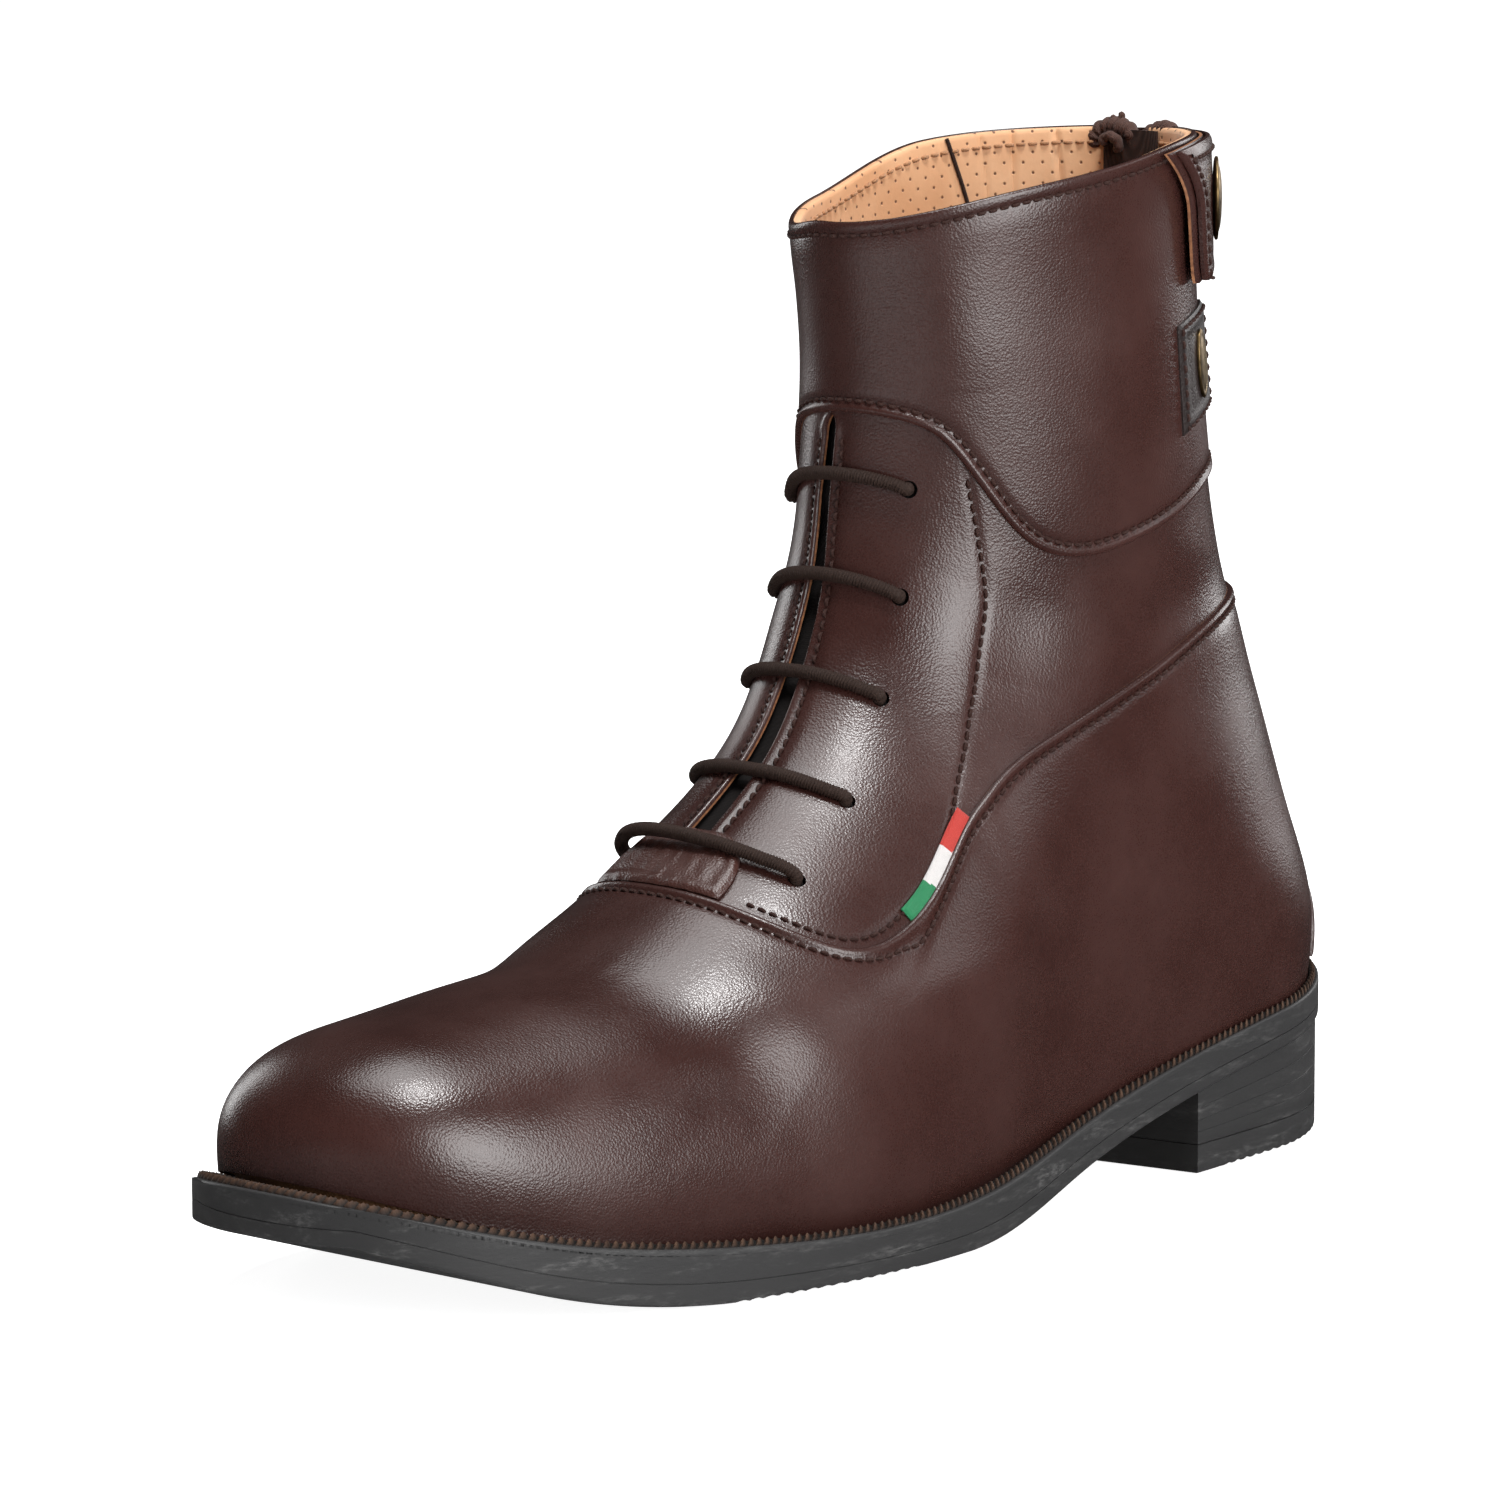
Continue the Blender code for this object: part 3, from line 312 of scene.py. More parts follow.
# Edges of sole, heel and its lift from bottom to top: share of the height and inset. The insole's is rise
# over the outsole and inset.
EDGE_SECTION = (
    (0.0, 0.6), (0.012, 0.3), (0.03, 0.1), (0.06, 0.02), (0.12, 0.0), (0.42, 0.0), (0.437, 0.0),
    (0.442, 0.18), (0.458, 0.18), (0.463, 0.0), (0.482, 0.0), (0.9, 0.0), (1.0, 0.0),
)
HEEL_FOOT = ((0.0, 0.3), (0.008, 0.05), (0.02, 0.0))
HEEL_TOP = ((0.98, 0.0), (0.992, 0.05), (1.0, 0.3))
# Grooves round the heel: share of the height and depth, and their section: shift of the share, open or not
HEEL_GROOVES = ((0.24, 0.08), (0.46, 0.07), (0.70, 0.08))
HEEL_GROOVE_SECTION = ((-0.03, 0), (-0.008, 0), (-0.005, 1), (0.005, 1), (0.008, 0), (0.03, 0))
LIFT_SECTION = (
    (0.0, 0.75), (0.03, 0.35), (0.08, 0.08), (0.16, 0.0), (0.9, 0.0), (0.985, 0.0), (0.99, 0.25), (1.0, 0.3),
)
LIFT_BASE_INSET = 2.2
INSOLE_SECTION = ((0.3, 0.0), (2.9, 0.0), (3.2, 0.4), (3.3, 1.2))
SOLE_POINTS, HEEL_POINTS, BREAST_POINTS, INSOLE_POINTS = 1400, 420, 40, 360
SOLE_GAP = 0.06

# Shallow ribs across the tread, their share in the lowest loops of the sole, and where the lift has them
TREAD_PITCH = 3.3
TREAD_DEPTH = 0.55
TREAD_RANGE = (-180.0, -130.0)
TREAD_SHARES = (1.0, 0.9, 0.4)
LIFT_TREAD_DEPTH = 0.5
LIFT_TREAD_RANGE = (-26.0, -18.0)
LIFT_TREAD_SHARE = 0.15

# Facing stitches in the middle panel: rise and arc from the front line, for the outer side
FACING_LINE = (
    (0.985, 30.0), (0.945, 32.6), (0.9, 34.4), (0.8, 36.0), (0.675, 34.5), (0.55, 36.0), (0.463, 38.5),
    (0.33, 45.5), (0.2, 56.0), (0.115, 62.5),
)

# Stitch rows: distance from the edge of vamp, cuff, rim, lining's rim, throat and vamp seam
SEAM_ROW, RIM_ROW, LINING_ROW, THROAT_ROW, FOOT_ROW = 2.4, 2.7, 3.4, 2.1, 2.3

# Lace holes: radius, place beside the lace, and the dark tube that paints the shade inside each, from the
# lining outwards
HOLE_RADIUS_LOOK = 1.75
HOLE_SHIFT = 0.4
HOLE_SIDES = 20
HOLE_CUT = (-4, 4)
HOLE_SHADOW = (-0.5, 0.35)
HOLE_SHADOW_OVERLAP = 0.5

# Lining: its thickness, its distance from the throat, and the grain and perforations of the looks
LINING_THICKNESS = 0.6
LINING_SET_BACK = 27.0
GRAIN_CELLS = 2000.0
HOLE_PITCH = 4.2

# Lines down the lining of the inner side: place at the rim, slope, bow, length, half-width and depth
GROOVE_COLUMNS = ("y", "slope", "bow", "length", "half_width", "depth")
LINING_GROOVES = (
    (-25.3, 0.22, 1.2, 34.0, 0.75, 0.5),
    (-16.5, 0.05, 0.3, 20.0, 0.35, 0.4),
    (-10.3, -0.05, 0.4, 26.0, 0.35, 0.45),
    (-3.4, 0.0, 0.2, 30.0, 0.35, 0.6),
)
# Dark cord that paints the shadow in the lining's open joint: distance inside the upper, radius and heights
# below the collar
JOINT_DEPTH = 2.2
JOINT_RADIUS = 0.42
JOINT_RANGE = (2.6, 30.0)
# Folded roll of cloth: share along it and its size
ROLL_SIZES = (
    (0.0, 0.15), (0.03, 0.7), (0.1, 1.0), (0.35, 0.86), (0.6, 1.04), (0.85, 0.9), (0.96, 0.66), (1.0, 0.12),
)
ROLL_RIB = (0.10, 1.7, 1)

# The zip: half-width of its tape, pitch of its teeth, and a tooth's rings: reach over the middle, half-width
TAPE_HALF_WIDTH = 8.0
ZIP_TOOTH_PITCH = 1.25
ZIP_TOOTH = ((-0.6, 0.42), (0.4, 0.5), (0.9, 0.62), (1.3, 0.5), (2.6, 0.36), (2.9, 0.25))
ZIP_TOOTH_RING = ((-1.0, 0.0), (-1.0, 0.9), (-0.5, 1.5), (0.5, 1.5), (1.0, 0.9), (1.0, 0.0))

# Camera of the photograph, fitted in its own frame
IMAGE_SIZE = 1500
SENSOR_WIDTH = 36.0
VIEW_ANGLES = (40.82, 10.33)
VIEW_DISTANCE = 2000.0
VIEW_FOCAL = 10135.0
VIEW_TARGET = (0.0, -95.0, 85.0)
VIEW_PIXEL = (863.6, 780.0)

# Light of the world and the floor, and soft boxes: name, size, power, place and aim, in metres and watts
WORLD_STRENGTH = 0.03
FLOOR_GLOW = 0.9
FLOOR_HALF, FLOOR_Z = 6, -0.0002
LIGHTS = (
    ("right_box", (0.95, 1.1), 25.0, (1.52, -0.40, 0.58), (0.0, -0.10, 0.10)),
    ("top_box", (1.1, 1.1), 18.0, (-0.10, -0.10, 1.75), (0.0, -0.10, 0.05)),
    ("top_hot", (0.34, 0.34), 15.5, (0.45, -0.28, 1.65), (0.0, -0.20, 0.05)),
    ("back_right", (0.6, 0.45), 2.0, (0.89, 0.96, 0.90), (0.0, -0.05, 0.10)),
    ("back_strip", (0.5, 0.9), 6.0, (0.0, 1.60, 0.50), (0.0, 0.0, 0.10)),
    ("inner_strip", (0.4, 0.9), 4.5, (-1.60, 0.10, 0.45), (0.0, -0.10, 0.10)),
    ("front_floor", (0.9, 0.8), 3.5, (0.15, -1.00, 0.02), (0.15, -0.99, 1.0)),
)


def column(rows, names, name):
    return np.array([row[names.index(name)] for row in rows], float)


def natural_spline(xs, ys):
    """Cubic spline through points in rising order of x, held level beyond both ends."""
    xs, ys = np.asarray(xs, float), np.asarray(ys, float)
    count = len(xs)
    width = np.diff(xs)
    rows = np.eye(count)
    bends = np.zeros(count)
    for i in range(1, count - 1):
        rows[i, i - 1:i + 2] = width[i - 1], 2 * (width[i - 1] + width[i]), width[i]
        bends[i] = 6 * ((ys[i + 1] - ys[i]) / width[i] - (ys[i] - ys[i - 1]) / width[i - 1])
    bends = np.linalg.solve(rows, bends)

    def value(x):
        x = np.clip(np.asarray(x, float), xs[0], xs[-1])
        i = np.clip(np.searchsorted(xs, x) - 1, 0, count - 2)
        left, right, span = xs[i + 1] - x, x - xs[i], width[i]
        curve = (bends[i] * left**3 + bends[i + 1] * right**3) / (6 * span)
        low = (ys[i] / span - bends[i] * span / 6) * left
        high = (ys[i + 1] / span - bends[i + 1] * span / 6) * right
        return curve + low + high

    return value


def smooth_path(points):
    """A line through the points, as a function of the share of its length."""
    points = np.asarray(points, float)
    steps = np.linalg.norm(np.diff(points, axis=0), axis=1)
    share = np.concatenate([[0.0], np.cumsum(steps)]) / steps.sum()
    curves = [natural_spline(share, points[:, i]) for i in range(points.shape[1])]
    return lambda along: np.stack([curve(along) for curve in curves], -1)


def travel_along(points):
    """Length along a line of points, at each of them."""
    steps = np.linalg.norm(np.diff(points, axis=0), axis=1)
    return np.concatenate([[0.0], np.cumsum(steps)])


def at_travel(spots, travel, points):
    """Places on a line of points at lengths along it."""
    return np.stack([np.interp(spots, travel, points[:, i]) for i in range(points.shape[1])], -1)


def unit(vectors):
    return vectors / np.linalg.norm(vectors, axis=-1, keepdims=True)


def smoothstep(x, limits):
    t = np.clip((np.asarray(x, float) - limits[0]) / (limits[1] - limits[0]), 0.0, 1.0)
    return t * t * (3 - 2 * t)


def rounding(depth, fullness):
    """Squared share of the half-width at a depth from an edge, a quarter of a superellipse."""
    inside = 1 - np.clip(1 - depth, 0, None) ** fullness
    return np.sign(inside) * np.abs(inside) ** (2 / fullness)


class Last:
    """The outside of the upper, as half-widths over its side view."""

    def __init__(self):
        foot = {name: natural_spline(column(FOOT_STATIONS, FOOT_COLUMNS, "y")[::-1],
                                     column(FOOT_STATIONS, FOOT_COLUMNS, name)[::-1])
                for name in FOOT_COLUMNS[1:]}
        shaft = {name: natural_spline(column(SHAFT_LEVELS, SHAFT_COLUMNS, "z"),
                                      column(SHAFT_LEVELS, SHAFT_COLUMNS, name))
                 for name in SHAFT_COLUMNS[1:]}
        self.sole_top = foot["sole_top"]
        self.sole_bottom = lambda y: np.maximum(foot["sole_bottom"](y), 0.0)
        self.foot_centre, self.crown, self.fullness = foot["centre"], foot["crown"], foot["fullness"]
        self.back, self.lean, self.taper = shaft["back"], shaft["lean"], shaft["taper"]
        self.foot_width = {1: foot["lateral"], -1: foot["medial"]}
        self.shaft_width = {1: shaft["lateral"], -1: shaft["medial"]}
        self.ridge = smooth_path(FRONT_PROFILE)(np.linspace(0, 1, 1500))
        self.ridge_length = travel_along(self.ridge)

    def ridge_at(self, length):
        return at_travel(length, self.ridge_length, self.ridge)

    def ridge_depth(self, y, z):
        """Distance inside the ridge line, measured square to it on the foot and level on the shaft."""
        along = y - np.interp(z, self.ridge[:, 1], self.ridge[:, 0])
        low = self.ridge[:, 1] < UPRIGHT_BLEND[1]
        rising = np.maximum.accumulate(self.ridge[low, 0])
        beyond = RIDGE_CLIMB * np.clip(y - rising[-1], 0, None)
        down = np.interp(y, rising, self.ridge[low, 1]) + beyond - z
        upright = smoothstep(z, UPRIGHT_BLEND)
        size = np.abs(along * down) / np.sqrt(down**2 + (1 - upright) * along**2 + 1e-9)
        inside = np.where(upright < 1, np.minimum(along, down), along)
        return np.where(inside > 0, size, -size)

    def width_squared(self, side, y, z):
        rise = smoothstep(z, WIDTH_BLEND)
        base = (1 - rise) * self.foot_width[side](y) + rise * self.shaft_width[side](z)
        upright = smoothstep(z, CROWN_BLEND)
        crown = (1 - upright) * self.crown(y) + upright * SHAFT_ROUND
        fullness = (1 - upright) * self.fullness(y) + upright * 2.0
        if side < 0:
            swell = smoothstep(z, MEDIAL_RANGES[0]) - smoothstep(z, MEDIAL_RANGES[1])
            fullness = fullness + MEDIAL_FULLNESS * swell
        front = rounding(self.ridge_depth(y, z) / crown, fullness)
        back = rounding((self.back(z) - y) / self.taper(z), 2.0)
        height = np.clip((z - self.sole_top(y)) / TUCK_HEIGHT, 0, 1)
        return (base * (1 - TUCK * (1 - height) ** 2)) ** 2 * front * back

    def centre(self, y, z):
        rise = smoothstep(z, WIDTH_BLEND)
        shift = RIDGE_SHIFT * (1 - RIDGE_RETURN * smoothstep(z, RETURN_RANGE))
        shaft = self.lean(z) + shift * smoothstep(-np.asarray(y), RIDGE_RANGE)
        return (1 - rise) * self.foot_centre(y) + rise * shaft

    def point(self, side, y, z):
        width = np.sqrt(np.maximum(self.width_squared(side, y, z), 0))
        return np.stack([self.centre(y, z) + side * width, y, z], -1)

    def level(self, side, p):
        x, y, z = p[..., 0], p[..., 1], p[..., 2]
        return (x - self.centre(y, z)) ** 2 - self.width_squared(side, y, z)

    def normal(self, side, p, step=0.05):
        slopes = [self.level(side, p + d) - self.level(side, p - d) for d in np.eye(3) * step]
        return unit(np.stack(slopes, -1))

    def settle(self, points):
        """The shaft leans inwards, so its rim stands a little higher on the outer side."""
        points = np.array(points, float)
        y, z = points[..., 1], points[..., 2]
        lever = points[..., 0] - self.centre(y, z)
        medial = smoothstep(-lever, RIM_DIP_RANGES[1]) * smoothstep(-y, RIM_DIP_RANGES[2])
        dip = RIM_DIP * smoothstep(z, RIM_DIP_RANGES[0]) * medial
        points[..., 2] += RIM_TILT * smoothstep(z, RIM_TILT_RANGE) * lever - dip
        return points


class Skin:
    """Places on the upper by band, by rise in the band, and by arc from the front or back line."""

    def __init__(self, last):
        self.last = last
        ys = np.linspace(last.back(HEEL_SEAT_Z), FRONT_PROFILE[0][0], 40)
        feather = np.stack([ys, last.sole_top(ys) - WELT_HEIGHT + 1.4 * GAP], -1)
        self.lines = [smooth_path(line) for line in (feather, VAMP_SEAM, CUFF_SEAM, COLLAR_LINE)]
        self.backs = [line(0.0)[1] for line in self.lines]
        self.fronts = [np.interp(line(1.0)[1], last.ridge[:, 1], last.ridge_length) for line in self.lines]

    def side_view(self, band, rise, along):
        """Point (y, z) between two lines, with its ends led along the back and front lines."""
        rise, along = np.broadcast_arrays(np.asarray(rise, float), np.asarray(along, float))
        low, high = self.lines[band], self.lines[band + 1]
        r, a = rise[..., None], along[..., None]
        z_back = (1 - rise) * self.backs[band] + rise * self.backs[band + 1]
        back = np.stack([self.last.back(z_back), z_back], -1)
        front = self.last.ridge_at((1 - rise) * self.fronts[band] + rise * self.fronts[band + 1])
        back_shift = back - ((1 - r) * low(0.0) + r * high(0.0))
        front_shift = front - ((1 - r) * low(1.0) + r * high(1.0))
        middle = (1 - r) * low(along) + r * high(along)
        return middle + (1 - a) ** END_PULL * back_shift + a**END_PULL * front_shift


LAST = Last()
SKIN = Skin(LAST)
HALF_TURN = (1 - np.cos(np.linspace(0, math.pi, 181))) / 2
TURNS = np.concatenate([HALF_TURN, 1 + HALF_TURN[1:]])


def surface(band, rise, turn):
    """Points and normals by rise in a band and turn round it: 0 back, 1 front, 2 back by the inner side."""
    rise, turn = np.broadcast_arrays(np.asarray(rise, float), np.asarray(turn, float))
    yz = SKIN.side_view(band, rise, np.where(turn <= 1, turn, 2 - turn))
    points, normals = {}, {}
    for side in (1, -1):
        points[side] = LAST.point(side, yz[..., 0], yz[..., 1])
        normals[side] = LAST.normal(side, points[side])
    outer = (turn <= 1)[..., None]
    return np.where(outer, points[1], points[-1]), np.where(outer, normals[1], normals[-1])


def ring_arcs(band, rise):
    """Arc length at each of TURNS from the back line, and that of the front line."""
    points, _ = surface(band, rise, TURNS)
    arcs = travel_along(points)
    return arcs, arcs[len(HALF_TURN) - 1]


def turns_at(band, rise, arcs, at_front):
    """Turns at signed arcs from the front or back line, lateral positive."""
    lengths, front = ring_arcs(band, rise)
    arcs = np.asarray(arcs, float)
    if at_front:
        travel = front - arcs
    else:
        travel = np.where(arcs >= 0, arcs, lengths[-1] + arcs)
    return np.interp(travel, lengths, TURNS)


def raised(points, normals, lift):
    return LAST.settle(points + normals * np.asarray(lift)[..., None])


def zip_half_width(rise, band):
    """Half the open width of the zip's slot, closed below its foot."""
    if band != VAMP:
        return ZIP_SLOT_HALF_WIDTH
    return ZIP_SLOT_HALF_WIDTH * float(smoothstep(rise, (ZIP_SLOT_FOOT - 0.01, ZIP_SLOT_FOOT + 0.03)))


def slit_half_width(rise):
    share = np.clip((rise - SLIT_RISES[0]) / (SLIT_RISES[1] - SLIT_RISES[0]), 0.0, 1.0)
    open_width = SLIT_HALF_WIDTHS[0] + share * (SLIT_HALF_WIDTHS[1] - SLIT_HALF_WIDTHS[0])
    ends = smoothstep(rise, (SLIT_RISES[0] - 0.05, SLIT_RISES[0] + 0.02))
    ends = ends * (1 - smoothstep(rise, (SLIT_RISES[1] - 0.03, SLIT_RISES[1] + 0.02)))
    return 0.08 + open_width * float(ends)


def row_turns(band, rise, start, end, close, spans):
    """Turns along a row from one arc to another from the back line, close together at both ends."""
    lengths, front = ring_arcs(band, rise)
    first, last = start(rise, front, lengths[-1]), end(rise, front, lengths[-1])
    close = np.asarray(close)
    even = np.linspace(first + close[-1], last - close[-1], spans)[1:-1]
    return np.interp(np.concatenate([first + close, even, last - close[::-1]]), lengths, TURNS)


def edge_scale(band, rise, turns, step):
    """Millimetres across the edge line for a whole rise, at each column."""
    edge, _ = surface(band, rise, turns)
    inside, _ = surface(band, rise + step, turns)
    tangent = unit(np.gradient(edge, axis=0))
    across = (inside - edge) / abs(step)
    across -= (across * tangent).sum(axis=1, keepdims=True) * tangent
    return np.linalg.norm(across, axis=1)


class Panel:
    """A leather panel over one band: a grid of places with close rows at its edges."""

    def __init__(self, band, start, end, close, spans, low, high, inner_rows):
        self.band, self.low, self.high = band, np.asarray(low), np.asarray(high)

        def turns(rise):
            return row_turns(band, rise, start, end, close, spans)
        low_scale = edge_scale(band, 0.0, turns(0.0), EDGE_STEP)
        high_scale = edge_scale(band, 1.0, turns(1.0), -EDGE_STEP)
        low_rows = self.low[:, None] / low_scale
        high_rows = 1 - self.high[:, None] / high_scale
        shares = np.linspace(0, 1, inner_rows + 2)[1:-1, None]
        middle_rows = low_rows[-1] + shares * (high_rows[0] - low_rows[-1])
        self.rise = np.concatenate([low_rows, middle_rows, high_rows])
        self.turn = np.array([turns(rise) for rise in self.rise.mean(axis=1)])
        self.points, self.normals = surface(band, self.rise, self.turn)
        self.rows = len(self.rise)

    def row_lifts(self, low, middle, high):
        """Lift of each row: the edges' own profiles with one value between them."""
        inner = np.full(self.rows - len(self.low) - len(self.high), float(middle))
        return np.concatenate([low, inner, high])[:, None] * np.ones(self.points.shape[1])


def grid_faces(rows, columns):
    r, c = np.meshgrid(np.arange(rows - 1), np.arange(columns - 1), indexing="ij")
    corner = (r * columns + c).reshape(-1)
    return np.stack([corner, corner + 1, corner + columns + 1, corner + columns], -1)


def shell_parts(outer, inner, facing):
    """Vertices and faces of a closed sheet between two grids of points, and how many aren't on its rim."""
    rows, columns = outer.shape[:2]
    size = rows * columns
    front = grid_faces(rows, columns)
    index = np.arange(size).reshape(rows, columns)
    rim = np.concatenate([index[0], index[1:, -1], index[-1, -2::-1], index[-2:0:-1, 0]])
    after = np.roll(rim, -1)
    sides = np.stack([after, rim, rim + size, after + size], -1)
    faces = np.concatenate([front, front[:, ::-1] + size, sides])
    across, up = outer[:-1, 1:] - outer[:-1, :-1], outer[1:, :-1] - outer[:-1, :-1]
    if (np.cross(across, up) * facing[:-1, :-1]).sum() < 0:
        faces = faces[:, ::-1]
    return np.concatenate([outer.reshape(-1, 3), inner.reshape(-1, 3)]), faces, 2 * len(front)


def shell_mesh(name, outer, inner, facing):
    """Closed sheet between two grids of points. Faces of its rim take the second material."""
    vertices, faces, sheet_faces = shell_parts(outer, inner, facing)
    mesh = mesh_from(name, vertices, faces)
    slots = np.zeros(len(faces), np.int32)
    slots[sheet_faces:] = 1
    mesh.polygons.foreach_set("material_index", slots)
    return mesh


def mesh_from(name, vertices, faces):
    mesh = bpy.data.meshes.new(name)
    mesh.from_pydata((np.asarray(vertices) * MM).tolist(), [], [list(map(int, face)) for face in faces])
    return mesh


def add_piece(name, mesh, materials, replaces=(), sharp=50):
    for material in materials:
        mesh.materials.append(material)
    mesh.shade_smooth()
    mesh.set_sharp_from_angle(angle=math.radians(sharp))
    piece = bpy.data.objects.new(name, mesh)
    bpy.context.scene.collection.objects.link(piece)
    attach(piece, "root")
    if replaces:
        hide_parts(*replaces)
    return piece


def store(mesh, name, values):
    attribute = mesh.attributes.new(name, "FLOAT", "POINT")
    attribute.data.foreach_set("value", np.asarray(values, np.float32).ravel())


def store_uv(mesh, coordinates):
    """A map in millimetres for patterns that follow a piece, from one pair for each point."""
    layer = mesh.uv_layers.new(name="pattern")
    corner = np.empty(len(mesh.loops), np.int32)
    mesh.loops.foreach_get("vertex_index", corner)
    layer.data.foreach_set("uv", np.asarray(coordinates, np.float32)[corner].ravel())


def tube_faces(count, size, ring=False):
    """Faces over loops of points: closed at both ends, or the last loop joined to the first."""
    faces = []
    for k in range(count if ring else count - 1):
        low, high = k * size + np.arange(size), (k + 1) % count * size + np.arange(size)
        faces += np.stack([low, np.roll(low, -1), np.roll(high, -1), high], -1).tolist()
    if not ring:
        faces += [list(range(size))[::-1], list(range((count - 1) * size, count * size))]
    return faces


def tube(loops, ring=False):
    """Vertices and faces through loops of points, which have the same number of points each."""
    loops = np.asarray(loops)
    return loops.reshape(-1, 3), tube_faces(*loops.shape[:2], ring)


def lofted(name, loops, ring=False):
    return mesh_from(name, *tube(loops, ring))


def tube_loops(path, radius, sides, ribs=(0.0, 1.0, 1)):
    """Rings round a path, with raised ribs that wind round it: height, pitch and starts."""
    path = np.asarray(path, float)
    tangent = unit(np.gradient(path, axis=0))
    side = np.cross(tangent[0], (0.3, 0.4, 0.9))
    frames = []
    for t in tangent:
        side = side - t * (side @ t)
        side /= np.linalg.norm(side)
        frames.append((side, np.cross(t, side)))
    travel = travel_along(path)
    angle = np.linspace(0, 2 * math.pi, sides, endpoint=False)
    height, pitch, starts = ribs
    wave = np.cos(2 * math.pi * travel[:, None] / pitch + starts * angle)
    size = np.broadcast_to(radius, len(path))[:, None] * (1 + height * wave)
    u, v = np.array([f[0] for f in frames]), np.array([f[1] for f in frames])
    around = np.cos(angle)[None, :, None] * u[:, None] + np.sin(angle)[None, :, None] * v[:, None]
    return path[:, None] + size[..., None] * around


def even_path(points, spacing):
    """Points at even steps along a smooth line through the given ones."""
    curve = smooth_path(points)(np.linspace(0, 1, 400))
    travel = travel_along(curve)
    even = np.linspace(0, travel[-1], max(int(travel[-1] / spacing), 4))
    return at_travel(even, travel, curve)


def join(pieces):
    """One mesh's vertices and faces from several (vertices, faces) pairs."""
    vertices, faces, base = [], [], 0
    for points, sides in pieces:
        vertices.append(points)
        faces.extend([v + base for v in face] for face in sides)
        base += len(points)
    return np.concatenate(vertices), faces


def stitch_row(points, normals):
    """Small arched threads along a line on the leather."""
    travel = travel_along(points)
    count = int(travel[-1] / STITCH_PITCH)
    centres = (np.arange(count) + 0.5) * travel[-1] / count
    offsets = np.array([-0.5, -0.32, 0.0, 0.32, 0.5]) * STITCH_LENGTH
    heights = np.array([-0.9, 0.25, 0.75, 0.25, -0.9]) * THREAD_RADIUS
    sizes = np.array([0.75, 1.0, 1.0, 1.0, 0.75]) * THREAD_RADIUS
    rings = len(offsets)
    spots = centres[:, None] + offsets
    centre, up = at_travel(spots, travel, points), at_travel(spots, travel, normals)
    ahead = unit(centre[:, -1:] - centre[:, :1])
    across = np.cross(up, ahead)
    centre = centre + up * heights[:, None]
    angle = np.linspace(0, 2 * math.pi, THREAD_SIDES, endpoint=False)
    ring = np.cos(angle)[:, None] * across[:, :, None] + np.sin(angle)[:, None] * up[:, :, None]
    vertices = centre[:, :, None] + ring * sizes[:, None, None]
    one = tube_faces(rings, THREAD_SIDES)
    base = np.arange(count)[:, None] * rings * THREAD_SIDES
    quads = (np.array(one[:-2])[None] + base[..., None]).reshape(-1, 4)
    ends = np.concatenate([np.array(end) + base for end in one[-2:]])
    return vertices.reshape(-1, 3), quads.tolist() + ends.tolist()


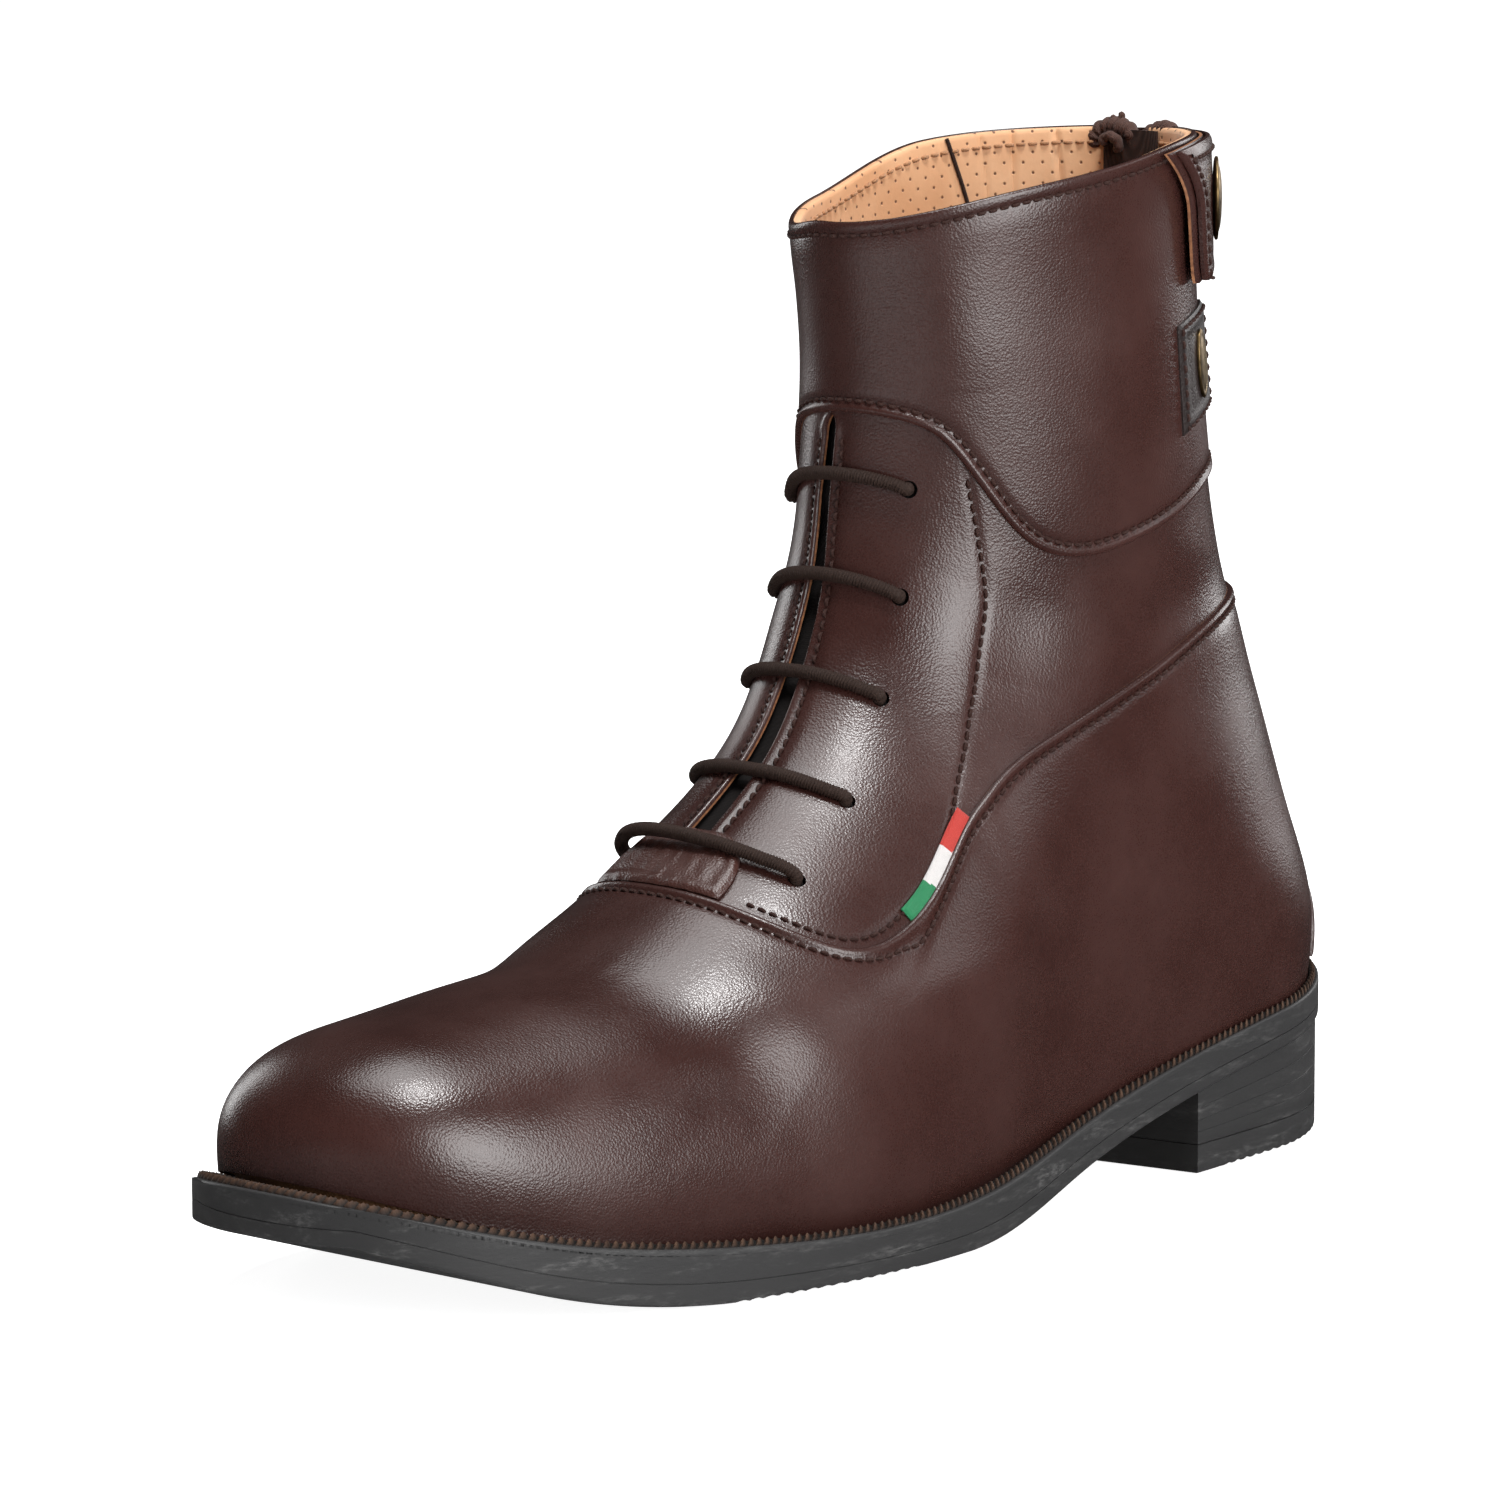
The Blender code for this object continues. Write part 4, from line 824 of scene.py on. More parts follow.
class Look:
    """A Principled material built node by node, in metres of the shoe's own frame."""

    def __init__(self, name, roughness, **sockets):
        self.material = bpy.data.materials.new(name)
        self.material.use_nodes = True
        self.nodes = self.material.node_tree.nodes
        self.shader = self.nodes["Principled BSDF"]
        self.shader.inputs["Roughness"].default_value = roughness
        for socket, value in sockets.items():
            self.shader.inputs[socket.replace("_", " ")].default_value = value
        self.place = self.nodes.new("ShaderNodeTexCoord").outputs["Object"]

    def link(self, output, socket):
        self.material.node_tree.links.new(output, socket)

    def node(self, kind, output, links=(), settings=(), **values):
        node = self.nodes.new("ShaderNode" + kind)
        for name, value in settings:
            setattr(node, name, value)
        for name, value in values.items():
            node.inputs[name.replace("_", " ")].default_value = value
        for source, name in links:
            self.link(source, node.inputs[name])
        return node.outputs[output]

    def stretched(self, scale):
        """The shoe's frame with its axes scaled."""
        return self.node("Mapping", "Vector", [(self.place, "Vector")], Scale=scale)

    def noise(self, scale, detail=3.0, vector=None, roughness=0.5):
        return self.node("TexNoise", "Fac", [(vector or self.place, "Vector")], Scale=scale, Detail=detail,
                         Roughness=roughness)

    def cells(self, scale):
        return self.node("TexVoronoi", "Distance", [(self.place, "Vector")], [("feature", "F1")], Scale=scale)

    def steps(self, value, *stops):
        """Colours at places along a value from 0 to 1."""
        ramp = self.nodes.new("ShaderNodeValToRGB")
        while len(ramp.color_ramp.elements) < len(stops):
            ramp.color_ramp.elements.new(0.5)
        for element, (position, colour) in zip(ramp.color_ramp.elements, stops):
            element.position = position
            element.color = (*colour, 1.0)
        self.link(value, ramp.inputs["Fac"])
        return ramp.outputs["Color"]

    def grey(self, value, low, high, start=0.0, end=1.0):
        return self.node("MapRange", "Result", [(value, "Value")], From_Min=start, From_Max=end,
                         To_Min=low, To_Max=high)

    def mix(self, factor, first, second):
        node = self.nodes.new("ShaderNodeMix")
        node.data_type = "RGBA"
        self.link(factor, node.inputs["Factor"])
        for index, value in ((6, first), (7, second)):
            if isinstance(value, tuple):
                node.inputs[index].default_value = (*value, 1.0)
            else:
                self.link(value, node.inputs[index])
        return node.outputs[2]

    def math(self, operation, first, second):
        node = self.nodes.new("ShaderNodeMath")
        node.operation = operation
        for index, value in enumerate((first, second)):
            if isinstance(value, (int, float)):
                node.inputs[index].default_value = value
            else:
                self.link(value, node.inputs[index])
        return node.outputs[0]

    def blend(self, first, share, second, other_share):
        """Sum of two values, each times its share."""
        parts = [self.math("MULTIPLY", *pair) for pair in ((first, share), (second, other_share))]
        return self.math("ADD", *parts)

    def bump(self, height, distance, strength=1.0, under=None):
        links = [(height, "Height")] + ([(under, "Normal")] if under else [])
        return self.node("Bump", "Normal", links, Distance=distance, Strength=strength)

    def finish(self, colour=None, roughness=None, normal=None):
        for value, socket in ((colour, "Base Color"), (roughness, "Roughness"), (normal, "Normal")):
            if value is not None:
                self.link(value, self.shader.inputs[socket])
        return self.material


def leather_look(name, dark, light, roughness, grain, folds, coat):
    """Leather with cloudy colour, and with grain and soft folds of heights in metres."""
    look = Look(name, roughness, Coat_Weight=coat, Coat_Roughness=0.28, Specular_IOR_Level=0.55)
    cloud = look.noise(38.0, 5.0)
    mottle = look.noise(420.0, 4.0)
    colour = look.steps(look.blend(cloud, 0.8, mottle, 0.2), (0.28, dark), (0.72, light))
    pebble = look.cells(GRAIN_CELLS)
    pores = look.noise(2600.0, 2.0)
    normal = look.bump(look.noise(260.0, 3.0), folds, 0.3)
    normal = look.bump(look.blend(pebble, -1.0, pores, 0.4), grain, 1.0, normal)
    shine = look.math("ADD", look.grey(cloud, -0.07, 0.07, 0.3, 0.7),
                      look.grey(pebble, roughness - 0.05, roughness + 0.05, 0.0, 0.6))
    return look.finish(colour, shine, normal)


def lining_look():
    """Tan lining with two crossed rows of small perforations on the map in millimetres, each painted as a
    dark dot for the shade inside the hole.
    """
    look = Look("lining_tan", 0.62, Sheen_Weight=0.15)
    spot = look.node("UVMap", "UV", (), [("uv_map", "pattern")])
    holes = None
    for shift in (0.0, 0.5):
        cell = look.node("Mapping", "Vector", [(spot, "Vector")], Location=(shift, shift, 0.0),
                         Scale=(1 / HOLE_PITCH, 1 / HOLE_PITCH, 1.0))
        part = look.node("VectorMath", "Vector", [(cell, 0)], [("operation", "FRACTION")])
        part = look.node("Mapping", "Vector", [(part, "Vector")], Location=(-0.5, -0.5, 0.0),
                         Scale=(1.0, 1.0, 0.0))
        near = look.node("VectorMath", "Value", [(part, 0)], [("operation", "LENGTH")])
        holes = near if holes is None else look.math("MINIMUM", holes, near)
    cloud = look.noise(60.0, 4.0)
    tan = look.steps(cloud, (0.3, (0.68, 0.355, 0.176)), (0.7, (0.84, 0.50, 0.28)))
    # The perforations are painted dark: painted shade inside each hole
    colour = look.mix(look.grey(holes, 1.0, 0.0, 0.045, 0.09), tan, (0.15, 0.06, 0.026))
    normal = look.bump(look.grey(holes, 0.0, 1.0, 0.04, 0.11), 0.0002, 0.6)
    normal = look.bump(look.noise(900.0, 3.0), 0.0001, 0.4, normal)
    return look.finish(colour, look.grey(cloud, 0.55, 0.7), normal)


def rubber_look(name, dark, light, roughness):
    """Rubber with pale scuffs."""
    look = Look(name, roughness, Specular_IOR_Level=0.45)
    scuff = look.noise(90.0, 8.0, look.stretched((1.0, 0.35, 3.0)), 0.7)
    fine = look.noise(700.0, 6.0, look.stretched((1.0, 0.5, 2.2)), 0.7)
    wear = look.math("MULTIPLY", look.grey(scuff, 0.0, 1.0, 0.5, 0.72),
                     look.grey(fine, 0.0, 1.0, 0.45, 0.7))
    colour = look.mix(wear, dark, light)
    shine = look.math("ADD", look.grey(wear, roughness, roughness + 0.2), look.grey(scuff, -0.06, 0.06))
    normal = look.bump(fine, 0.00012, 0.35)
    return look.finish(colour, shine, normal)


def welt_look():
    """Dark notches and worn, lighter tips, by the attribute of the welt's teeth."""
    look = Look("welt_brown", 0.7, Specular_IOR_Level=0.25)
    tip = look.node("Attribute", "Fac", (), [("attribute_name", "tip")])
    cloud = look.noise(300.0, 4.0)
    light = look.steps(cloud, (0.3, (0.036, 0.0175, 0.0105)), (0.7, (0.085, 0.045, 0.027)))
    colour = look.mix(look.grey(tip, 0.0, 1.0, 0.15, 0.85), (0.006, 0.005, 0.0045), light)
    return look.finish(colour, look.grey(cloud, 0.6, 0.8), look.bump(cloud, 0.0001, 0.4))


def cloth_look(name, dark, light, thread_scale, roughness, sheen):
    """Plain woven or braided threads."""
    look = Look(name, roughness, Sheen_Weight=sheen, Sheen_Roughness=0.4, Specular_IOR_Level=0.25)
    waves = [look.node("TexWave", "Fac", [(look.place, "Vector")], [("bands_direction", axis)],
                       Scale=thread_scale, Distortion=0.6, Detail=1.0) for axis in ("Y", "Z")]
    weave = look.math("MULTIPLY", waves[0], waves[1])
    fuzz = look.noise(thread_scale * 2.5, 4.0)
    colour = look.steps(look.blend(weave, 0.5, fuzz, 0.5), (0.25, dark), (0.75, light))
    normal = look.bump(fuzz, 0.0001, 0.3, look.bump(weave, 0.00018, 0.6))
    return look.finish(colour, look.grey(fuzz, roughness - 0.08, roughness + 0.08), normal)


def brass_look():
    look = Look("antique_brass_aged", 0.34, Metallic=1.0)
    cloud = look.noise(260.0, 6.0)
    colour = look.steps(cloud, (0.3, (0.075, 0.05, 0.025)), (0.55, (0.26, 0.175, 0.08)),
                        (0.75, (0.42, 0.31, 0.16)))
    normal = look.bump(look.noise(900.0, 4.0), 0.00006, 0.4)
    return look.finish(colour, look.grey(cloud, 0.5, 0.24, 0.3, 0.75), normal)


def edge_look():
    look = Look("raw_edge_tan", 0.75)
    fibre = look.noise(900.0, 5.0)
    colour = look.steps(fibre, (0.3, (0.13, 0.045, 0.018)), (0.7, (0.30, 0.125, 0.05)))
    return look.finish(colour, look.grey(fibre, 0.65, 0.85), look.bump(fibre, 0.0002, 0.5))


# Leathers: name, dark and light colour, roughness, heights of grain and folds in metres, coat
LEATHERS = {
    "leather": ("brown_leather_polished", (0.0245, 0.0084, 0.0068), (0.042, 0.0152, 0.0122),
                0.262, 0.00005, 0.00004, 0.14),
    "soft_leather": ("brown_leather_soft", (0.030, 0.0100, 0.0078), (0.055, 0.0195, 0.0145),
                     0.33, 0.00010, 0.0007, 0.2),
    "patch": ("patch_leather_dark", (0.010, 0.0062, 0.0058), (0.020, 0.012, 0.011),
              0.42, 0.00010, 0.0004, 0.1),
    "insole": ("insole_tan", (0.22, 0.095, 0.036), (0.34, 0.16, 0.07), 0.6, 0.00005, 0.0004, 0.0),
}
# Rubber and plastic: name, colour, colour of scuffs, roughness
RUBBERS = {
    "rubber": ("black_rubber_worn", (0.024, 0.0236, 0.024), (0.10, 0.098, 0.096), 0.48),
    # The breast's rubber is the sole's rubber made darker: painted shade on the heel's front face
    "breast": ("black_rubber_dull", (0.0060, 0.0055, 0.0054), (0.020, 0.019, 0.018), 0.7),
    "teeth": ("zip_teeth_brown", (0.02, 0.0105, 0.008), (0.07, 0.045, 0.035), 0.36),
}
# Cloth and thread: name, dark and light colour, threads per metre, roughness, sheen
CLOTHS = {
    "cord": ("elastic_cord_brown", (0.016, 0.0078, 0.0054), (0.058, 0.030, 0.021), 2200.0, 0.62, 0.0),
    "thread": ("thread_brown", (0.024, 0.0092, 0.0070), (0.066, 0.026, 0.019), 3000.0, 0.55, 0.0),
    "tan_thread": ("thread_tan", (0.42, 0.20, 0.095), (0.70, 0.40, 0.21), 3000.0, 0.6, 0.2),
    "tape_end": ("zip_tape_end", (0.046, 0.020, 0.015), (0.15, 0.076, 0.057), 1400.0, 0.6, 0.1),
    # Near-black suede: the tongue's dark brown made darker, painted shade for the tongue that lies deep
    # behind the slit; it also paints the shade inside the lace holes
    "suede_painted_shade": ("tongue_suede_dark", (0.0045, 0.0032, 0.0030), (0.010, 0.0072, 0.0066), 1500.0, 0.85, 0.0),
    "tape": ("zip_tape_brown", (0.020, 0.0095, 0.0075), (0.060, 0.029, 0.022), 1400.0, 0.7, 0.1),
    "ribbon_red": ("ribbon_red", (0.34, 0.020, 0.016), (0.62, 0.075, 0.050), 1900.0, 0.7, 0.2),
    "ribbon_white": ("ribbon_white", (0.48, 0.46, 0.45), (0.74, 0.72, 0.71), 1900.0, 0.7, 0.2),
    "ribbon_green": ("ribbon_green", (0.008, 0.12, 0.045), (0.025, 0.30, 0.12), 1900.0, 0.7, 0.2),
}
MATERIAL = {"raw_edge": edge_look(), "lining": lining_look(), "welt": welt_look(), "brass": brass_look()}
for look_of, rows in ((leather_look, LEATHERS), (rubber_look, RUBBERS), (cloth_look, CLOTHS)):
    MATERIAL.update({key: look_of(*row) for key, row in rows.items()})


def crease_lift(points):
    """Height of the creases over the leather at each point."""
    flat = points.reshape(-1, 3)
    total = np.zeros(len(flat))
    for row in CREASES:
        crease = dict(zip(CREASE_COLUMNS, row))
        line = smooth_path([(crease[f"y{i}"], crease[f"z{i}"]) for i in range(3)])
        y, z = line(np.linspace(0, 1, CREASE_SPOTS)).T
        fade = np.sin(math.pi * np.linspace(0.06, 0.94, CREASE_SPOTS)) ** 0.7
        sides = (1, -1) if crease["side"] == 0 else (crease["side"],)
        near = np.full(len(flat), 1e9)
        weight = np.zeros(len(flat))
        for side in sides:
            for spot, strength in zip(LAST.point(side, y, z), fade):
                distance = ((flat - spot) ** 2).sum(axis=1)
                closer = distance < near
                near = np.where(closer, distance, near)
                weight = np.where(closer, strength, weight)
        total += crease["height"] * weight * np.exp(-near / crease["width"] ** 2)
    return total.reshape(points.shape[:-1])


def zip_edge(band):
    return lambda rise, front, total: zip_half_width(rise, band)


def zip_far_edge(band):
    return lambda rise, front, total: total - zip_half_width(rise, band)


def slit_edge(side, back=0.0):
    return lambda rise, front, total: front - SLIT_ARC - side * (slit_half_width(rise) + back)


def make_vamp():
    profile = np.array(FOLDED_EDGE)[::-1]
    spans, rows = VAMP_GRID
    panel = Panel(VAMP, zip_edge(VAMP), zip_far_edge(VAMP), CLOSE_COLUMNS, spans, VAMP_FOOT,
                  profile[:, 0], rows)
    add_leather_panel("vamp", panel, (OVERLAY_LIFT,) * len(VAMP_FOOT), OVERLAY_LIFT, profile[:, 1])
    return panel


def make_cuff():
    low, high = np.array(FOLDED_EDGE), np.array(ROLLED_EDGE)[::-1]
    spans, rows = CUFF_GRID
    panel = Panel(CUFF, zip_edge(CUFF), zip_far_edge(CUFF), CLOSE_COLUMNS, spans, low[:, 0], high[:, 0], rows)
    add_leather_panel("cuff", panel, low[:, 1], OVERLAY_LIFT, high[:, 1])
    return panel


def make_quarters():
    low = np.array(TUCKED_EDGE)
    high = low[::-1]
    spans, rows = QUARTER_GRID
    for name, side, start, end in (("quarter_outer", 1, zip_edge(MIDDLE), slit_edge(1)),
                                   ("quarter_inner", -1, slit_edge(-1), zip_far_edge(MIDDLE))):
        panel = Panel(MIDDLE, start, end, CLOSE_COLUMNS, spans, low[:, 0], high[:, 0], rows)
        grooves = stitch_grooves(panel, side)
        cut_holes(add_leather_panel(name, panel, low[:, 1], MIDDLE_LIFT, high[:, 1], grooves))


def stitch_grooves(panel, side):
    """Leather drawn down along the stitch rows of a quarter."""
    flat = panel.points.reshape(-1, 3)
    near = np.full(len(flat), 1e9)
    for points, _ in facing_rows(side):
        for spot in even_path(points, 0.6):
            near = np.minimum(near, ((flat - spot) ** 2).sum(axis=1))
    return -GROOVE_DEPTH * np.exp(-near / GROOVE_WIDTH**2).reshape(panel.points.shape[:-1])


def facing_rows(side):
    """Stitch rows of one quarter: along the throat, round the facing and above the vamp's edge."""
    lift = MIDDLE_LIFT - 0.1
    rises = np.linspace(SLIT_RISES[0] + 0.01, 0.955, 60)
    throat = [SLIT_ARC + side * (slit_half_width(r) + THROAT_ROW) for r in rises]
    rows = [arc_line(MIDDLE, rises, throat, lift)]
    table = smooth_path(FACING_LINE)(np.linspace(0, 1, 90))
    arcs = table[:, 1] if side == 1 else 2 * SLIT_ARC - table[:, 1]
    rows.append(arc_line(MIDDLE, table[:, 0], arcs, lift))
    turns = turns_at(MIDDLE, 0.03, SLIT_ARC + side * np.linspace(21.0, 62.0, 40), True)
    rows.append(line_on(MIDDLE, FOOT_ROW / edge_scale(MIDDLE, 0.0, turns, EDGE_STEP), turns, lift))
    return rows


def add_leather_panel(name, panel, low, middle, high, extra=0.0):
    lifts = panel.row_lifts(low, middle, high) + extra
    drop = np.zeros(lifts.shape[1])
    drop[:len(EDGE_DROP)] = EDGE_DROP
    drop[-len(EDGE_DROP):] = EDGE_DROP[::-1]
    lifts = lifts + drop + crease_lift(panel.points)
    inner = np.minimum(lifts - 0.03, np.maximum(middle - LEATHER, lifts - LEATHER))
    outer_points = raised(panel.points, panel.normals, lifts)
    inner_points = raised(panel.points, panel.normals, inner)
    mesh = shell_mesh(name, outer_points, inner_points, panel.normals)
    return add_piece(name, mesh, [MATERIAL["leather"], MATERIAL["raw_edge"]], ["upper"])


def lace_arcs(lateral_arc):
    return np.array([lateral_arc, 2 * SLIT_ARC - lateral_arc])


def place(band, rise, arcs, at_front, lift):
    """Points and normals on a ring at arcs from its front or back line, lateral positive."""
    points, normals = surface(band, rise, turns_at(band, rise, arcs, at_front))
    return raised(points, normals, lift * np.ones(points.shape[:-1])), normals


def hole_tubes(lift, depths, radius):
    """Short tubes square to the leather at the lace holes."""
    tubes = []
    for rise, lateral_arc in LACE_BARS:
        points, normals = place(MIDDLE, rise, lace_arcs(lateral_arc + HOLE_SHIFT), True, lift)
        for point, normal in zip(points, normals):
            path = point + normal * np.linspace(*depths, 2)[:, None]
            tubes.append(tube(tube_loops(path, radius, HOLE_SIDES)))
    return join(tubes)


def cut_holes(piece):
    """Punched lace holes through a quarter."""
    holes = mesh_from("lace_holes", *hole_tubes(MIDDLE_LIFT, HOLE_CUT, HOLE_RADIUS_LOOK))
    cutter = bpy.data.objects.new("lace_holes", holes)
    bpy.context.scene.collection.objects.link(cutter)
    boolean = piece.modifiers.new("holes", "BOOLEAN")
    boolean.object = cutter
    boolean.solver = "EXACT"
    deps = bpy.context.evaluated_depsgraph_get()
    mesh = bpy.data.meshes.new_from_object(piece.evaluated_get(deps), depsgraph=deps)
    piece.modifiers.clear()
    old, piece.data = piece.data, mesh
    bpy.data.meshes.remove(old)
    bpy.data.objects.remove(cutter)


def make_hole_shadows():
    """Dark tubes below the leather's face at each punched hole: painted shade inside the hole."""
    shadow_tubes = hole_tubes(INSIDE_LIFT, HOLE_SHADOW, HOLE_RADIUS_LOOK + HOLE_SHADOW_OVERLAP)
    add_piece("hole_shadows", mesh_from("hole_shadows", *shadow_tubes), [MATERIAL["suede_painted_shade"]], sharp=60)


def make_lining():
    """Lining in panels that end at the slit and the zip, with a map in millimetres for its perforations."""
    plain, rim = np.array(LINING_PLAIN_EDGE), np.array(LINING_EDGE)[::-1]
    inward = plain[::-1]
    panels = (
        (VAMP, zip_edge(VAMP), zip_far_edge(VAMP), 150, plain, inward, 40),
        (MIDDLE, zip_edge(MIDDLE), slit_edge(1, LINING_SET_BACK), 60, plain, inward, 24),
        (MIDDLE, slit_edge(-1, LINING_SET_BACK), zip_far_edge(MIDDLE), 60, plain, inward, 24),
        (CUFF, zip_edge(CUFF), zip_far_edge(CUFF), 420, plain, rim, 40),
    )
    pieces, maps = [], []
    for band, start, end, spans, low, high, rows in panels:
        panel = Panel(band, start, end, (0.0, 0.6, 1.4), spans, low[:, 0], high[:, 0], rows)
        lifts = panel.row_lifts(low[:, 1], INSIDE_LIFT, high[:, 1])
        lengths, front = ring_arcs(band, 0.8)
        across = np.interp(panel.turn, TURNS, lengths) - front
        outside = np.full(lifts.shape, INSIDE_LIFT + LINING_THICKNESS)
        if band == CUFF:
            lifts = lifts + lining_grooves(panel)
            outside[-5:] = OVERLAY_LIFT - LEATHER - 0.05
        inside = raised(panel.points, panel.normals, lifts)
        cover = raised(panel.points, panel.normals, np.maximum(outside, lifts + 0.05))
        vertices, faces, _ = shell_parts(cover, inside, panel.normals)
        pieces.append((vertices, faces))
        pair = np.stack([across, inside[..., 2]], -1).reshape(-1, 2)
        maps += [pair, pair]
    mesh = mesh_from("lining", *join(pieces))
    store_uv(mesh, np.concatenate(maps))
    add_piece("lining", mesh, [MATERIAL["lining"]], ["upper"])
    make_lining_joint_shadow()


def make_lining_joint_shadow():
    """Dark cord sunk in the lining's inner side: painted shadow in its open joint."""
    below = np.linspace(*JOINT_RANGE, 16)
    wall = LAST.point(-1, groove_line(LINING_GROOVES[0], below), COLLAR_LINE[0][1] - below)
    path = even_path(wall + np.array((JOINT_DEPTH, 0.0, 0.0)), 0.5)
    loops = tube_loops(path, JOINT_RADIUS, 10)
    add_piece("lining_joint_shadow", lofted("lining_joint_shadow", loops), [MATERIAL["tape"]], sharp=80)


def groove_line(row, below):
    """Place along the shoe of a line in the lining, at depths below the collar's back."""
    groove = dict(zip(GROOVE_COLUMNS, row))
    bow = groove["bow"] * np.sin(math.pi * below / groove["length"])
    return groove["y"] + groove["slope"] * below + bow


def lining_grooves(panel):
    """Open joint and folds in the lining of the inner side, each along a line down from the rim."""
    lift = np.zeros(panel.turn.shape)
    y, z = panel.points[..., 1], panel.points[..., 2]
    for row in LINING_GROOVES:
        groove = dict(zip(GROOVE_COLUMNS, row))
        depth_below = COLLAR_LINE[0][1] - z
        line = groove_line(row, depth_below)
        fade = 1 - smoothstep(depth_below, (0.6 * groove["length"], groove["length"]))
        across = np.abs(y - line) / groove["half_width"]
        lift += groove["depth"] * fade * np.clip(1.6 - across, 0, 1) * (panel.turn > 1)
    return lift


def rail_points(count):
    """Places round the foot's plan from the back by the outer side, outward directions and travel."""
    y = LAST.back(HEEL_SEAT_Z) + (FRONT_PROFILE[0][0] - LAST.back(HEEL_SEAT_Z)) * HALF_TURN
    lateral = LAST.point(1, y, LAST.sole_top(y))[:, :2]
    medial = LAST.point(-1, y, LAST.sole_top(y))[::-1, :2]
    loop = np.concatenate([lateral, medial[1:]])
    travel = travel_along(loop)
    even = np.linspace(0, travel[-1], count, endpoint=False)
    loop = at_travel(even, travel, loop)
    tangent = unit(np.roll(loop, -2, 0) - np.roll(loop, 2, 0))
    return loop, np.stack([-tangent[:, 1], tangent[:, 0]], -1), even


def sole_margin(y):
    return MARGIN_FOREFOOT + (MARGIN_HEEL - MARGIN_FOREFOOT) * smoothstep(y, MARGIN_BLEND)


def outsole_top(y):
    return LAST.sole_top(y) - WELT_HEIGHT


def make_welt():
    """Rand on the sole's edge: a smooth black foot and a raised row of slanted teeth."""
    _, _, travel = rail_points(16)
    teeth = int(travel[-1] * 16 / 15 / TOOTH_PITCH)
    loop, outward, _ = rail_points(teeth * TOOTH_SAMPLES)
    phase = np.arange(len(loop)) / TOOTH_SAMPLES
    margin = sole_margin(loop[:, 1])
    room = (margin - OVERLAY_LIFT - 0.2) / WELT_SECTION[-1][0]
    low = outsole_top(loop[:, 1]) + 0.02
    loops, tips = [], []
    for row in WELT_SECTION:
        part = dict(zip(WELT_COLUMNS, row))
        inset = part["inset"] * np.minimum(room, 1.0)
        wave = np.abs(2 * np.mod(phase + TOOTH_SLANT * part["inset"], 1.0) - 1)
        notch = np.clip(wave * 1.2 - 0.1, 0, 1)
        z = low + part["rise"] * WELT_HEIGHT - TOOTH_DEPTH * part["bite"] * notch
        loops.append(np.column_stack([loop + outward * (margin - inset)[:, None], z]))
        tips.append(part["tip"] * (1 - notch))
    mesh = lofted("welt_rope", loops, ring=True)
    store(mesh, "tip", np.array(tips))
    slots = np.zeros(len(mesh.polygons), np.int32)
    slots[:BLACK_WELT_ROWS * len(loop)] = 1
    mesh.polygons.foreach_set("material_index", slots)
    add_piece("welt_rope", mesh, [MATERIAL["welt"], MATERIAL["rubber"]], ["welt"], sharp=50)


def sole_loops(section, low, high, count):
    loop, outward, _ = rail_points(count)
    loops = []
    for share, inward in section:
        offset = sole_margin(loop[:, 1]) - inward
        xy = loop + outward * offset[:, None]
        loops.append(np.column_stack([xy, (1 - share) * low(xy[:, 1]) + share * high(xy[:, 1])]))
    return loops


def cap_faces(size, base, flip):
    """Strips across a closed loop that starts at the back."""
    half = size // 2
    faces = []
    for i in range(half - 1):
        face = [base + i, base + i + 1, base + (size - i - 1) % size, base + (size - i) % size]
        face = list(dict.fromkeys(face))
        faces.append(face[::-1] if flip else face)
    faces.append([base + half - 1, base + half, base + half + 1])
    if flip:
        faces[-1] = faces[-1][::-1]
    return faces


def capped(name, loops):
    """Solid through loops of the foot's plan, closed by strips across its bottom and top."""
    vertices, faces = tube(loops)
    size = len(loops[0])
    caps = cap_faces(size, 0, True) + cap_faces(size, len(vertices) - size, False)
    return mesh_from(name, vertices, faces[:-2] + caps)


def ribs(y):
    return 0.5 - 0.5 * np.cos(2 * math.pi * y / TREAD_PITCH)


def tread(y):
    """Height of the shallow ribs across the tread."""
    start, end = TREAD_RANGE
    inside = smoothstep(y, (start, start + 6)) * (1 - smoothstep(y, (end - 6, end)))
    return TREAD_DEPTH * ribs(y)**0.6 * inside


def make_outsole():
    loops = sole_loops(EDGE_SECTION, LAST.sole_bottom, outsole_top, SOLE_POINTS)
    for loop, share in zip(loops, TREAD_SHARES):
        loop[:, 2] += share * tread(loop[:, 1])
    mesh = capped("outsole", loops)
    add_piece("outsole_look", mesh, [MATERIAL["rubber"]], ["outsole"], sharp=40)


def heel_outline(inset):
    """The heel's plan: round the back from one breast corner to the other, then along the breast."""
    loop, outward, _ = rail_points(2400)
    xy = loop + outward * (sole_margin(loop[:, 1]) - HEEL_INSET - inset)[:, None]
    ahead = xy[:, 1] - BREAST_CORNER[1] - BREAST_SLOPE * (xy[:, 0] - BREAST_CORNER[0]) - inset
    keep = np.roll(xy, 1200, axis=0)[np.roll(ahead > 0, 1200)]
    travel = travel_along(keep)
    curve = at_travel(np.linspace(0, travel[-1], HEEL_POINTS - BREAST_POINTS), travel, keep)
    share = np.linspace(0, 1, BREAST_POINTS + 2)[1:-1, None]
    breast = curve[-1] + share * (curve[0] - curve[-1])
    return np.concatenate([curve, breast])


